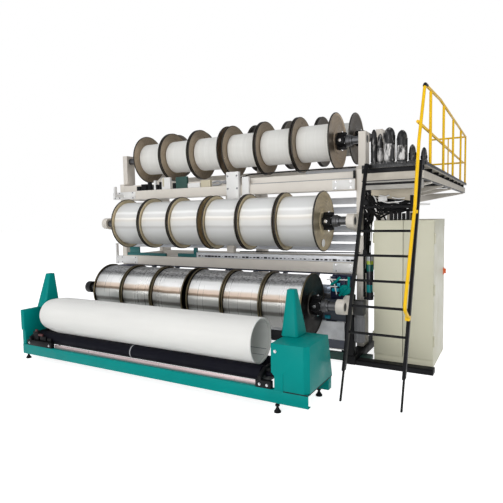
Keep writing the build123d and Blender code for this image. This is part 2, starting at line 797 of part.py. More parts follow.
def make_deck():
    """The service deck: plate, joists, channels, front beam, cantilevers and rear columns."""
    with BuildPart() as plate:
        block((deck_x0, deck_x1), (deck_front_y, deck_back_y), (deck_z - deck_t, deck_z))
    save(plate.part, "deck_plate")

    with BuildPart() as joists:
        count = int((deck_back_y - deck_front_y - joist_w) // joist_pitch) + 1
        for i in range(count):
            y0 = deck_front_y + i * joist_pitch
            block((deck_x0, channel_x1), (y0, y0 + joist_w), (joist_z, deck_z - deck_t))
    save(joists.part, "deck_joists")

    side_y = deck_front_y + channel_w
    with BuildPart() as channels:
        block((deck_x0, channel_x1), (deck_front_y, side_y), (channel_z, channel_z + channel_h))
        for outer, inner in ((deck_x0, deck_x0 + channel_w), (channel_x1, channel_x1 - channel_w)):
            section = front_profile(side_y + seat_gap, channel_section(outer, inner))
            extrude(section, amount=deck_back_y - side_y - seat_gap)
    save(channels.part, "deck_channels")

    with BuildPart() as front_beam:
        block(
            (deck_x0 + front_beam_inset, channel_x1 - front_beam_inset),
            (deck_front_y, deck_front_y + front_beam_w), (front_beam_z, channel_z),
        )
    save(front_beam.part, "deck_front_beam")

    column_x0 = deck_column_x - deck_column_w / 2
    arms = [(right_outer_x, y) for y in (front_cantilever_y, rear_cantilever_y)]
    arms += [(column_x0, y) for y in deck_column_ys]
    with BuildPart() as cantilevers:
        for x0, y in arms:
            arm = front_profile(y - cantilever_w / 2, (
                (x0, cantilever_z), (x0 + cantilever_root, cantilever_z),
                (channel_x1, channel_z - cantilever_tip_h), (channel_x1, channel_z), (x0, channel_z),
            ))
            extrude(arm, amount=cantilever_w)
    save(cantilevers.part, "deck_cantilevers")

    with BuildPart() as columns:
        with Locations(*[(deck_column_x, y, 0) for y in deck_column_ys]):
            rest = (Align.CENTER, Align.CENTER, Align.MIN)
            Box(deck_column_w, deck_column_w, cantilever_z, align=rest)
            Box(deck_column_foot_w, deck_column_foot_w, deck_column_foot_t, align=rest)
    save(columns.part, "deck_columns")


def guard_rail_z(y):
    """Height of the top guard rail's axis at y: rising to its bend, then level."""
    rise = (guard_top_z - guard_start_z) / (guard_bend_y - guard_start_y)
    return min(guard_top_z, guard_start_z + rise * (y - guard_start_y))


def make_guard_rails():
    """The tubes round the deck and up the ladder, each a bar just clear of the ones it meets."""
    corner_y = guard_post_ys[-1]
    mid_x = guard_x - 2 * rail_tube_r - fit_gap
    mid_y = corner_y - 2 * rail_tube_r - fit_gap
    butt = rail_tube_r + fit_gap
    posts = [(guard_x, y, rail_tube_r) for y in guard_post_ys]
    posts.append((guard_end_x, corner_y, rail_tube_r))
    posts.append((guard_thin_x, corner_y, thin_tube_r))
    with BuildPart() as rails:
        for x, y, radius in posts:
            with Locations((x, y, deck_z)):
                Box(
                    post_foot_w, post_foot_w, post_foot_t,
                    align=(Align.CENTER, Align.CENTER, Align.MIN),
                )
            rod((x, y, deck_z), (x, y, guard_rail_z(y - rail_tube_r) - butt), radius)
        bars = (
            ((guard_x, guard_bend_y, guard_top_z), (guard_x, corner_y + rail_tube_r, guard_top_z)),
            ((guard_end_x, corner_y, guard_top_z), (guard_x - butt, corner_y, guard_top_z)),
            ((mid_x, guard_mid_start_y, guard_mid_z), (mid_x, mid_y - butt, guard_mid_z)),
            ((guard_end_x, mid_y, guard_mid_z), (mid_x + rail_tube_r, mid_y, guard_mid_z)),
        )
        for start, end in bars:
            rod(start, end, rail_tube_r)
    save(rails.part, "guard_rails")

    stringer_y = ladder_foot_y + ladder_slope * handrail_low_z
    with BuildPart() as handrail:
        with BuildLine() as path:
            FilletPolyline(
                (guard_x, stringer_y - stringer_d / 2 - handrail_stand_off, handrail_low_z),
                (guard_x, handrail_kink_y, handrail_kink_z),
                (guard_x, handrail_mid_y, handrail_mid_z),
                (guard_x, handrail_high_y, handrail_high_z),
                (guard_x, guard_start_y, guard_start_z),
                (guard_x, guard_bend_y - handrail_end_gap, guard_top_z),
                radius=handrail_bend_r,
            )
        with BuildSketch(Plane(origin=path.line @ 0, z_dir=path.line % 0)):
            Circle(rail_tube_r)
        sweep(path=path.line)
    save(handrail.part, "ladder_handrail")


def ladder_y(z):
    """Depth of the ladder's centre line at height z."""
    return ladder_foot_y + ladder_slope * z


def make_ladder():
    """The ladder: two leaning stringers on thin legs, hooked to the deck's edge, and its rungs."""
    half = stringer_d / 2
    top, hook_z = deck_z, deck_z - deck_t
    with BuildPart() as stringers:
        for x in (ladder_x0, ladder_x1):
            stringer = side_profile(x - stringer_w / 2, (
                (ladder_y(stringer_z) - half, stringer_z), (ladder_y(stringer_z) + half, stringer_z),
                (ladder_y(hook_z) + half, hook_z), (deck_front_y, hook_z), (deck_front_y, top),
                (ladder_y(top) - half, top),
            ))
            extrude(stringer, amount=stringer_w)
            leg = side_profile(x - leg_w / 2, (
                (ladder_y(0) - leg_w / 2, 0), (ladder_y(0) + leg_w / 2, 0),
                (ladder_y(stringer_z) + leg_w / 2, stringer_z),
                (ladder_y(stringer_z) - leg_w / 2, stringer_z),
            ))
            extrude(leg, amount=leg_w)
    save(stringers.part, "ladder_stringers")

    rung_x = (ladder_x0 + stringer_w / 2, ladder_x1 - stringer_w / 2)
    with BuildPart() as rungs:
        for i in range(rung_count):
            z = rung_first_z + i * rung_pitch
            rod((rung_x[0], ladder_y(z), z), (rung_x[1], ladder_y(z), z), rung_r)
    save(rungs.part, "ladder_rungs")


def make_drives():
    """The pattern drives on the deck, the sloped cover under it, the motor and the signal column."""
    with BuildPart() as units:
        for x, width, top in drives:
            base_top = deck_z + drive_base_h
            cap_z = top - drive_cap_h
            base_half = width / 2 + drive_base_margin
            block(
                (x - base_half, x + base_half), (drive_y - base_half, drive_y + base_half),
                (deck_z, base_top),
            )
            with BuildSketch(Plane.XY.offset(base_top)):
                with Locations((x, drive_y)):
                    RectangleRounded(width, width, width / 6)
            extrude(amount=cap_z - base_top)
            rod((x, drive_y, cap_z), (x, drive_y, top), width / 3)
    save(units.part, "pattern_drives")

    with BuildPart() as cover:
        outline = front_profile(cover_front_y, (
            (cover_x0, channel_z), (cover_x1, channel_z),
            (cover_x1, front_beam_z - cover_right_drop), (cover_x0, front_beam_z - cover_left_drop),
        ))
        extrude(outline, amount=cover_depth)
    save(cover.part, "drive_cover")

    gearbox_z = gearbox_top - gearbox_h
    leg_back_y = sill_front_y + leg_depth
    gearbox_x = (right_outer_x, right_outer_x + gearbox_w)
    with BuildPart() as motor:
        block(gearbox_x, (sill_front_y, leg_back_y), (gearbox_z, gearbox_top))
        motor_x, motor_y = sum(gearbox_x) / 2, (sill_front_y + leg_back_y) / 2
        rod((motor_x, motor_y, gearbox_z - motor_len), (motor_x, motor_y, gearbox_z), motor_r)
    save(motor.part, "letoff_motor")

    with BuildPart() as signal:
        rod((signal_x, signal_y, signal_z), (signal_x, signal_y, signal_z + signal_h), signal_r)
        block(
            (right_outer_x, signal_x), (signal_y - signal_r / 2, signal_y + signal_r / 2),
            (signal_z, signal_z + signal_arm_h),
        )
    save(signal.part, "signal_column")


def make_cabinet():
    """The control cabinet: an open-fronted shell, two hinged doors, a side switch and a floor duct."""
    shell_front = cabinet_front_y + door_t
    pin_y = cabinet_front_y + door_t - hinge_r - fit_gap
    pin_xs = (cabinet_x0 - hinge_r, cabinet_x1 + hinge_r)
    with BuildPart() as cabinet:
        block((cabinet_x0, cabinet_x1), (shell_front, cabinet_back_y), (0, cabinet_h))
        block(
            (cabinet_x0 + cabinet_wall, cabinet_x1 - cabinet_wall),
            (shell_front, cabinet_back_y - cabinet_wall),
            (cabinet_base_h, cabinet_h - cabinet_wall), Mode.SUBTRACT,
        )
        for pin_x, side_x in zip(pin_xs, (cabinet_x0, cabinet_x1)):
            for z in hinge_zs:
                for low in (z + knuckle_h / 2 + knuckle_gap, z - knuckle_h - knuckle_gap):
                    high = low + knuckle_h / 2
                    rod((pin_x, pin_y, low), (pin_x, pin_y, high), hinge_r)
                    leaf_x = sorted((pin_x, side_x))
                    block(leaf_x, (pin_y, shell_front + 4 * hinge_r), (low, high))
    save(cabinet.part, "cabinet")

    middle_x = (cabinet_x0 + cabinet_x1) / 2
    door_z = (cabinet_base_h, cabinet_h - door_margin)
    door_y = (cabinet_front_y, shell_front - fit_gap)
    panels = {
        "left": (cabinet_x0 + door_margin, middle_x - door_gap / 2),
        "right": (middle_x + door_gap / 2, cabinet_x1 - door_margin),
    }
    for (name, panel_x), pin_x in zip(panels.items(), pin_xs):
        near_x = min(panel_x, key=lambda x: abs(x - pin_x))
        with BuildPart() as door:
            block(panel_x, door_y, door_z)
            for z in hinge_zs:
                low, high = z - knuckle_h / 2, z + knuckle_h / 2
                rod((pin_x, pin_y, low), (pin_x, pin_y, high), hinge_r)
                block(sorted((pin_x, near_x)), (pin_y - hinge_r / 2, pin_y + hinge_r / 2), (low, high))
        save(door.part, f"cabinet_{name}_door")

    with BuildPart() as switch:
        plate_x1 = cabinet_x1 + switch_plate_t
        half = switch_plate_w / 2
        block(
            (cabinet_x1, plate_x1), (switch_y - half, switch_y + half), (switch_z - half, switch_z + half),
        )
        rod((plate_x1, switch_y, switch_z), (plate_x1 + switch_reach / 2, switch_y, switch_z), switch_r)
        grip_x = (plate_x1, plate_x1 + switch_reach)
        grip_y = (switch_y - switch_grip_w / 2, switch_y + switch_grip_w / 2)
        block(grip_x, grip_y, (switch_z - switch_r, switch_z + switch_r))
    save(switch.part, "cabinet_switch")

    with BuildPart() as duct:
        with BuildSketch(side_plane(right_frame_x + sill_w)):
            with Locations((duct_front_y + duct_depth / 2, duct_h / 2)):
                Rectangle(duct_depth, duct_h)
        extrude(amount=duct_x1 - right_frame_x - sill_w)
        upper = duct.edges().filter_by(Axis.X).group_by(Axis.Z)[-1]
        fillet(upper, duct_h / 3)
    save(duct.part, "floor_duct")


if __name__ == "__main__":
    os.makedirs(PARTS, exist_ok=True)
    make_side_frames()
    make_cross_beams()
    make_rows()
    make_bed()
    make_head()
    make_batching_frame()
    make_batching_rolls()
    make_deck()
    make_guard_rails()
    make_ladder()
    make_drives()
    make_cabinet()
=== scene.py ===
"""Warp knitting machine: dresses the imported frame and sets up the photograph's view."""

import logging
import math
from dataclasses import dataclass, field, replace
from enum import Enum

import bmesh
import bpy
from mathutils import Matrix, Vector


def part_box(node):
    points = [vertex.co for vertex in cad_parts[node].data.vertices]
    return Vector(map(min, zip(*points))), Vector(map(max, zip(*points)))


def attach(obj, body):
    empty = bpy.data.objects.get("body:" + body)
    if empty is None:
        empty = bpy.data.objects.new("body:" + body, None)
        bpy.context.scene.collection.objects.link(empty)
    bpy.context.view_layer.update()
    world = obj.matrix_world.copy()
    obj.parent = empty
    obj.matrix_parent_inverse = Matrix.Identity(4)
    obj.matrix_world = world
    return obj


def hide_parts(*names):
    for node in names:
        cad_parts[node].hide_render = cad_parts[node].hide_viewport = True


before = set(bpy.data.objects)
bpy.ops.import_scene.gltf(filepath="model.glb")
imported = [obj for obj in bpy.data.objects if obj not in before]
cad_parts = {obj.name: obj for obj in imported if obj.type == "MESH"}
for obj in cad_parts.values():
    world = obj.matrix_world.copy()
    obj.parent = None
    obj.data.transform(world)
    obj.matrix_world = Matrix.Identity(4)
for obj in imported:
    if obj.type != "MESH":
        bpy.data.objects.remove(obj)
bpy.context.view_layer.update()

log = logging.getLogger("warp_knitter")

Colour = tuple[float, float, float]
Point = tuple[float, float, float]
Blocks = list[tuple[Point, Point]]
Outline = list[tuple[float, float]]
Socket = bpy.types.NodeSocket
Obj = bpy.types.Object

# Near black, used for the bearings' black part at the lower left.
NEAR_BLACK: Colour = (0.008, 0.008, 0.009)
DUST_TONE = 0.42
DUST_COVER = 0.45
BEAM_WIDTH = 0.533
CENTRE_GAP = 0.066
SHADED_AS_ONE = math.radians(35.0)
SHARP_EDGE = math.radians(40.0)
FLAT_ENOUGH = math.radians(0.5)
SAME_POINT = 1e-6
SAME_CAD_POINT = 1e-5
BOLT_WIDTH = 0.024
BOLT_HEIGHT = 0.012
WASHER_SIDES = 14


class Body(Enum):
    """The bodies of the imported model."""

    MACHINE = "machine"
    TOP = "top_row"
    MIDDLE = "middle_row"
    LOWER = "lower_row"
    REAR = "rear_row"
    CLOTH = "cloth_roll"
    FRONT_ROLLER = "front_roller"
    REAR_ROLLER = "rear_roller"
    LEFT_DOOR = "left_door"
    RIGHT_DOOR = "right_door"


class Axis(Enum):
    """The world axes, as unit vectors."""

    X = (1.0, 0.0, 0.0)
    Y = (0.0, 1.0, 0.0)
    Z = (0.0, 0.0, 1.0)

    def vector(self) -> Vector:
        """The axis as a vector."""
        return Vector(self.value)


class Wiring:
    """Adds nodes to a node tree and joins them."""

    tree: bpy.types.NodeTree

    def node(self, kind: str, options: dict[str, object] | None = None,
             **inputs: object) -> bpy.types.Node:
        """Add a node, set its options and feed its inputs.

        Args:
            kind: The node's type name.
            options: Properties to set on it.
            **inputs: Values or sockets by input name, with underscores for spaces.

        Returns:
            The new node.
        """
        new = self.tree.nodes.new(kind)
        for key, value in (options or {}).items():
            setattr(new, key, value)
        for key, value in inputs.items():
            self.feed(new.inputs[key.replace("_", " ")], value)
        return new

    def link(self, source: Socket, target: Socket) -> None:
        """Join two sockets."""
        self.tree.links.new(source, target)

    def feed(self, target: Socket, value: object) -> None:
        """Give an input a constant or another node's output.

        Args:
            target: The input.
            value: A number, a colour or an output socket.
        """
        if isinstance(value, Socket):
            self.link(value, target)
        elif isinstance(value, tuple) and len(value) == 3 and target.type == "RGBA":
            target.default_value = (*value, 1.0)
        else:
            target.default_value = value


class Graph(Wiring):
    """Wires the nodes of one material round its main shader."""

    def __init__(self, name: str) -> None:
        """Start a material.

        Args:
            name: The material's name.
        """
        self.material = bpy.data.materials.new(name)
        self.material.use_nodes = True
        self.tree = self.material.node_tree
        self.tree.nodes.clear()
        self.shader = self.node("ShaderNodeBsdfPrincipled")
        self.node("ShaderNodeOutputMaterial", Surface=self.shader.outputs["BSDF"])
        self.place = self.node("ShaderNodeTexCoord").outputs["Object"]

    def moved(self, scale: Point = (1, 1, 1), location: Point = (0, 0, 0)) -> Socket:
        """Object coordinates, scaled and shifted.

        Args:
            scale: Factor along each axis.
            location: Shift added after scaling.

        Returns:
            The mapped vector.
        """
        return self.node("ShaderNodeMapping", Vector=self.place, Scale=scale,
                         Location=location).outputs[0]

    def noise(self, scale: float, detail: float = 3.0, stretch: Point = (1, 1, 1)) -> Socket:
        """A noise pattern on the object.

        Args:
            scale: Cells to a metre.
            detail: Octaves.
            stretch: Factor along each axis, for streaks.

        Returns:
            The pattern, from 0 to 1.
        """
        return self.node("ShaderNodeTexNoise", Vector=self.moved(stretch), Scale=scale,
                         Detail=detail).outputs[0]

    def spread(self, factor: Socket, low: float, high: float,
               start: float = 0.3, end: float = 0.7) -> Socket:
        """Map a pattern to a range of numbers.

        Args:
            factor: The pattern.
            low: Result at its start.
            high: Result at its end.
            start: Where the range starts in the pattern.
            end: Where it ends.

        Returns:
            The mapped number.
        """
        return self.node("ShaderNodeMapRange", Value=factor, From_Min=start, From_Max=end,
                         To_Min=low, To_Max=high).outputs[0]

    def wander(self, scale: float, detail: float, low: float, high: float) -> Socket:
        """A number that wanders over the object with a noise pattern.

        Args:
            scale: Cells to a metre.
            detail: Octaves.
            low: The least value.
            high: The greatest value.

        Returns:
            The number.
        """
        return self.spread(self.noise(scale, detail), low, high)

    def calc(self, operation: str, first: object, second: object = 0.0) -> Socket:
        """One step of arithmetic.

        Args:
            operation: The Math node's operation.
            first: First number or socket.
            second: Second number or socket.

        Returns:
            The result.
        """
        step = self.node("ShaderNodeMath", {"operation": operation})
        self.feed(step.inputs[0], first)
        self.feed(step.inputs[1], second)
        return step.outputs[0]

    def blend(self, factor: object, first: object, second: object) -> Socket:
        """Mix two colours.

        Args:
            factor: Share of the second.
            first: First colour or socket.
            second: Second colour or socket.

        Returns:
            The mixed colour.
        """
        mix = self.node("ShaderNodeMix", {"data_type": "RGBA"})
        self.feed(mix.inputs[0], factor)
        self.feed(mix.inputs[6], first)
        self.feed(mix.inputs[7], second)
        return mix.outputs[2]

    def ramp(self, factor: Socket, stops: tuple[tuple[float, Colour], ...]) -> Socket:
        """Turn a number into a colour along a ramp.

        Args:
            factor: The number, from 0 to 1.
            stops: Places and colours in rising order.

        Returns:
            The colour.
        """
        node = self.node("ShaderNodeValToRGB", Fac=factor)
        elements = node.color_ramp.elements
        elements[0].position, elements[1].position = stops[0][0], stops[-1][0]
        elements[0].color, elements[1].color = (*stops[0][1], 1.0), (*stops[-1][1], 1.0)
        for spot, colour in stops[1:-1]:
            elements.new(spot).color = (*colour, 1.0)
        return node.outputs[0]

    def bump(self, height: Socket, depth: float, below: Socket | None = None) -> Socket:
        """Raise the surface by a pattern.

        Args:
            height: The pattern.
            depth: Its depth in metres.
            below: A normal to build on.

        Returns:
            The new normal.
        """
        raised = self.node("ShaderNodeBump", Strength=1.0, Distance=depth, Height=height)
        if below is not None:
            self.link(below, raised.inputs["Normal"])
        return raised.outputs[0]

    def upward(self, start: float = 0.5) -> Socket:
        """How far the surface faces up, from 0 at start to 1 when level."""
        facing = self.node("ShaderNodeNewGeometry").outputs["Normal"]
        parts = self.node("ShaderNodeSeparateXYZ", Vector=facing)
        return self.spread(parts.outputs[2], 0.0, 1.0, start, 1.0)

    def along(self, axis: Axis) -> Socket:
        """The object coordinate along one axis."""
        parts = self.node("ShaderNodeSeparateXYZ", Vector=self.place)
        return parts.outputs[list(Axis).index(axis)]

    def around(self, centre: Point) -> Socket:
        """The distance from a line along X.

        Args:
            centre: A point on the line.

        Returns:
            The radius in metres.
        """
        shifted = self.moved((0, 1, 1), (0, -centre[1], -centre[2]))
        return self.node("ShaderNodeVectorMath", {"operation": "LENGTH"},
                         Vector=shifted).outputs["Value"]

    def done(self, **sockets: object) -> bpy.types.Material:
        """Feed the main shader.

        Args:
            **sockets: Values by input name, with underscores for spaces.

        Returns:
            The finished material.
        """
        for key, value in sockets.items():
            self.feed(self.shader.inputs[key.replace("_", " ")], value)
        return self.material


def toned(colour: Colour, factor: float) -> Colour:
    """A colour made darker or paler, up to white."""
    return tuple(min(1.0, c * factor) for c in colour)


@dataclass(frozen=True)
class Enamel:
    """Sprayed enamel: fine orange peel, wandering tone, smudged gloss and dust on top faces."""

    name: str
    colour: Colour
    roughness: float = 0.42
    mottle: float = 0.10
    dust: float = 0.25
    specular: float = 0.5
    peel: float = 0.00012

    def material(self) -> bpy.types.Material:
        """Build the enamel.

        Returns:
            The material.
        """
        graph = Graph(self.name)
        dark, pale = toned(self.colour, 1 - self.mottle), toned(self.colour, 1 + self.mottle / 2)
        tone = graph.blend(graph.wander(2.4, 5, 0, 1), dark, pale)
        dusty = tuple((1 - DUST_COVER) * c + DUST_COVER * DUST_TONE for c in self.colour)
        settled = graph.calc("MULTIPLY", graph.upward(), graph.wander(9, 4, 0.2, 1.0))
        settled = graph.calc("MULTIPLY", settled, self.dust)
        tone = graph.blend(settled, tone, dusty)
        smudges = graph.wander(6, 5, self.roughness * 0.8, self.roughness * 1.25)
        rough = graph.calc("ADD", smudges, graph.calc("MULTIPLY", settled, 0.3))
        peel = graph.bump(graph.noise(420, 2), self.peel)
        return graph.done(Base_Color=tone, Roughness=rough, Normal=peel,
                          Specular_IOR_Level=self.specular)


@dataclass(frozen=True)
class Tread:
    """Deck plate: black enamel worn on raised diamond studs, with a paler underside."""

    name: str
    colour: Colour
    worn: Colour
    below: Colour
    studs: float = 105.0

    def material(self) -> bpy.types.Material:
        """Build the plate.

        Returns:
            The material.
        """
        graph = Graph(self.name)
        waves = []
        for sign in ("ADD", "SUBTRACT"):
            slant = graph.calc(sign, graph.along(Axis.X), graph.along(Axis.Y))
            waves.append(graph.calc("SINE", graph.calc("MULTIPLY", slant, self.studs)))
        studs = graph.spread(graph.calc("MULTIPLY", *waves), 0, 1, 0.35, 0.75)
        wear = graph.calc("MULTIPLY", studs, graph.wander(5, 5, 0.2, 0.9))
        tone = graph.blend(wear, self.colour, self.worn)
        under = graph.calc("SUBTRACT", 1.0, graph.upward(-1.0))
        tone = graph.blend(graph.spread(under, 0, 1, 0.7, 0.9), tone, self.below)
        return graph.done(Base_Color=tone, Roughness=graph.wander(20, 3, 0.35, 0.6),
                          Normal=graph.bump(studs, 0.0015))


@dataclass(frozen=True)
class PartedEnamel(Enamel):
    """Enamel that is black left of a place along X, where it is also below a height."""

    past: float = -1.9
    below: float = 1.2

    def material(self) -> bpy.types.Material:
        """Build the enamel with its black part.

        Returns:
            The material.
        """
        graph = Graph(self.name)
        tone = graph.blend(graph.wander(2.4, 5, 0, 1), self.colour,
                           toned(self.colour, 1 - self.mottle))
        part = graph.calc("MULTIPLY", graph.calc("LESS_THAN", graph.along(Axis.X), self.past),
                          graph.calc("LESS_THAN", graph.along(Axis.Z), self.below))
        tone = graph.blend(part, tone, NEAR_BLACK)
        return graph.done(Base_Color=tone, Roughness=graph.wander(6, 5, 0.35, 0.55),
                          Normal=graph.bump(graph.noise(420, 2), self.peel),
                          Specular_IOR_Level=self.specular)


@dataclass(frozen=True)
class Mottled:
    """Glossy black drive housings with pale streaks running down them, which are painted glints."""

    name: str
    dark: Colour
    pale: Colour
    stretch: Point = (1.0, 1.0, 0.3)
    share: tuple[float, float] = (0.50, 0.62)

    def material(self) -> bpy.types.Material:
        """Build the streaks.

        Returns:
            The material.
        """
        graph = Graph(self.name)
        streaks = graph.noise(26, 4, self.stretch)
        tone = graph.blend(graph.spread(streaks, 0, 1, *self.share), self.dark, self.pale)
        rough = graph.wander(18, 3, 0.25, 0.5)
        return graph.done(Base_Color=tone, Roughness=rough, Normal=graph.bump(streaks, 0.003))


@dataclass(frozen=True)
class Brushed:
    """Machined metal with fine lines along one axis and a wandering tone."""

    name: str
    colour: Colour
    roughness: float = 0.3
    lines: Axis = Axis.X
    metallic: float = 1.0

    def material(self) -> bpy.types.Material:
        """Build the metal.

        Returns:
            The material.
        """
        graph = Graph(self.name)
        stretch = tuple(0.02 if part else 1.0 for part in self.lines.value)
        streaks = graph.noise(700, 2, stretch)
        tone = graph.blend(graph.spread(streaks, 0, 1), toned(self.colour, 0.78),
                           self.colour)
        stains = graph.wander(5, 5, 0, 0.5)
        tone = graph.blend(stains, tone, toned(self.colour, 0.7))
        rough = graph.wander(12, 4, self.roughness * 0.75, self.roughness * 1.3)
        return graph.done(Base_Color=tone, Roughness=rough, Metallic=self.metallic,
                          Normal=graph.bump(streaks, 0.00008))


@dataclass(frozen=True)
class Anodised:
    """Turned and anodised aluminium: fine rings round the shaft, and painted light and shade at the rim."""

    name: str
    colour: Colour
    rim: Colour
    centre: Point
    roughness: float = 0.33
    rings: float = 900.0
    metallic: float = 1.0

    def material(self) -> bpy.types.Material:
        """Build the turned metal.

        Returns:
            The material.
        """
        graph = Graph(self.name)
        radius = graph.around(self.centre)
        turned = graph.calc("SINE", graph.calc("MULTIPLY", radius, self.rings))
        wander = graph.calc("MULTIPLY", graph.noise(3.5, 3), 0.5)
        bands = graph.calc("SINE", graph.calc("MULTIPLY", graph.calc("ADD", radius, wander), 90.0))
        tone = graph.blend(graph.spread(bands, 0, 0.45, -1, 1), self.colour,
                           toned(self.colour, 0.72))
        # Painted rim colour: painted shade at the rim, where the gap between beams lies in shadow; where the
        # rim colour is paler, a painted glint.
        edge = graph.spread(radius, 0, 1, 0.366, 0.374)
        tone = graph.blend(edge, tone, self.rim)
        rough = graph.wander(10, 4, self.roughness * 0.8, self.roughness * 1.25)
        tangent = graph.node("ShaderNodeTangent", {"direction_type": "RADIAL", "axis": "X"})
        return graph.done(Base_Color=tone, Roughness=rough, Metallic=self.metallic, Anisotropic=0.7,
                          Tangent=tangent.outputs[0], Normal=graph.bump(turned, 0.00001))


@dataclass(frozen=True)
class WoundYarn:
    """Yarn wound side by side: threads across the beam, bands of tension and painted reflections by height.
    """

    name: str
    colour: Colour
    shade: Colour
    roughness: float = 0.8
    metallic: float = 0.0
    sheen: float = 0.3
    coat: float = 0.0
    threads: float = 3200.0
    painted_reflections: tuple[tuple[float, Colour], ...] = ()
    share: float = 0.75
    centre: Point = (0.0, 0.0, 0.0)
    radius: float = 0.3
    painted_crinkle_reflection: float = 0.0

    def material(self) -> bpy.types.Material:
        """Build the yarn.

        Returns:
            The material.
        """
        graph = Graph(self.name)
        across = graph.along(Axis.X)
        ply = graph.calc("SINE", graph.calc("MULTIPLY", across, self.threads))
        bands = graph.noise(38, 4, (1.0, 0.02, 0.02))
        layers = graph.noise(26, 4, (0.05, 1.0, 1.0))
        tone = graph.blend(graph.spread(bands, 0, 0.8), self.colour, self.shade)
        tone = graph.blend(graph.spread(layers, 0, 0.45), tone, self.shade)
        # Painted reflections: a ramp of light and dark colours by height on the roll, with painted
        # highlights; they turn with the row.
        if self.painted_reflections:
            above = graph.calc("SUBTRACT", graph.along(Axis.Z), self.centre[2] - self.radius)
            height = graph.calc("DIVIDE", above, 2 * self.radius)
            wander = graph.spread(graph.noise(2.2, 3, (1.0, 0.2, 0.2)), -0.012, 0.012)
            tone = graph.blend(self.share, tone,
                               graph.ramp(graph.calc("ADD", height, wander), self.painted_reflections))
            # Near-black crinkles painted near the top of the roll: a painted dark reflection in the silver
            # yarn.
            folds = graph.spread(graph.noise(48, 5, (0.6, 1.0, 1.0)), 0, self.painted_crinkle_reflection, 0.47, 0.60)
            folds = graph.calc("MULTIPLY", folds, graph.spread(height, 0, 1, 0.84, 0.90))
            tone = graph.blend(folds, tone, (0.03, 0.03, 0.032))
        rough = graph.spread(bands, self.roughness * 0.85, min(1.0, self.roughness * 1.15))
        return graph.done(Base_Color=tone, Roughness=rough, Metallic=self.metallic,
                          Sheen_Weight=self.sheen, Sheen_Roughness=0.5, Coat_Weight=self.coat,
                          Coat_Roughness=0.3, Anisotropic=0.6 if self.metallic else 0.0,
                          Normal=graph.bump(graph.calc("ADD", ply, bands), 0.00016))


@dataclass(frozen=True)
class KnittedCloth:
    """Warp-knitted cloth: fine wales along the roll's girth and courses across it."""

    name: str
    colour: Colour
    shade: Colour
    wales: float = 2600.0
    courses: float = 2100.0

    def material(self) -> bpy.types.Material:
        """Build the cloth.

        Returns:
            The material.
        """
        graph = Graph(self.name)
        wale = graph.calc("SINE", graph.calc("MULTIPLY", graph.along(Axis.X), self.wales))
        course = graph.calc("SINE", graph.calc("MULTIPLY", graph.along(Axis.Z), self.courses))
        knit = graph.calc("MULTIPLY", wale, course)
        folds = graph.noise(5, 4, (0.12, 1.0, 1.0))
        tone = graph.blend(graph.spread(folds, 0, 0.7), self.colour, self.shade)
        normal = graph.bump(folds, 0.004, graph.bump(knit, 0.0003))
        return graph.done(Base_Color=tone, Roughness=0.88, Sheen_Weight=0.35, Sheen_Roughness=0.4,
                          Normal=normal)


@dataclass(frozen=True)
class Banded:
    """Enamel or plastic in bands of colour along one axis, each from its own height up."""

    name: str
    bands: tuple[tuple[float, Colour], ...]
    axis: Axis = Axis.Z
    roughness: float = 0.35
    coat: float = 0.2

    def material(self) -> bpy.types.Material:
        """Build the bands.

        Returns:
            The material.
        """
        graph = Graph(self.name)
        height = graph.along(self.axis)
        tone = self.bands[0][1]
        for start, colour in self.bands[1:]:
            tone = graph.blend(graph.calc("GREATER_THAN", height, start), tone, colour)
        tone = graph.blend(graph.wander(14, 5, 0, 0.16), tone, (0.05, 0.05, 0.05))
        rough = graph.wander(8, 4, self.roughness * 0.8, self.roughness * 1.3)
        return graph.done(Base_Color=tone, Roughness=rough, Coat_Weight=self.coat,
                          Coat_Roughness=0.15, Normal=graph.bump(graph.noise(300, 2), 0.0001))


class Palette:
    """The machine's finishes, each built once."""

    def __init__(self) -> None:
        """Start with no material built."""
        self.built: dict[str, bpy.types.Material] = {}

    def __call__(self, finish: object) -> bpy.types.Material:
        """Build or fetch a finish.

        Args:
            finish: A finish with a name and a material method.

        Returns:
            Its material.
        """
        if finish.name not in self.built:
            self.built[finish.name] = finish.material()
        return self.built[finish.name]


CREAM = Enamel("cream_enamel", (0.74, 0.69, 0.62), 0.45, 0.05, 0.12)
BEARING = PartedEnamel("bearing_enamel", (0.74, 0.69, 0.62), 0.45, 0.05, 0.0, specular=0.3)
PALE_PLATE = Enamel("pale_plate", (0.80, 0.79, 0.77), 0.35, 0.05, 0.05)
WINDOW = Enamel("window_white", (0.95, 0.95, 0.94), 0.4, 0.03, 0.0)
BLACK = Enamel("black_enamel", (0.005, 0.005, 0.006), 0.5, 0.3, 0.0, specular=0.15)
TEAL = Enamel("teal_enamel", (0.0, 0.235, 0.215), 0.36, 0.08, 0.0, specular=0.07)
NAVY = Enamel("navy_enamel", (0.010, 0.014, 0.045), 0.45, 0.2, 0.0, specular=0.3)
CYAN = Enamel("cyan_plastic", (0.0, 0.30, 0.42), 0.35, 0.1, 0.0)
GREY = Enamel("grey_enamel", (0.30, 0.30, 0.31), 0.45, 0.2, 0.05)
BEIGE = Enamel("beige_plastic", (0.58, 0.52, 0.38), 0.5, 0.1, 0.05)
RED = Enamel("red_enamel", (0.07, 0.008, 0.008), 0.5, 0.2, 0.0)
TREAD = Tread("deck_tread", (0.008, 0.008, 0.009), (0.10, 0.10, 0.10), (0.50, 0.46, 0.38))
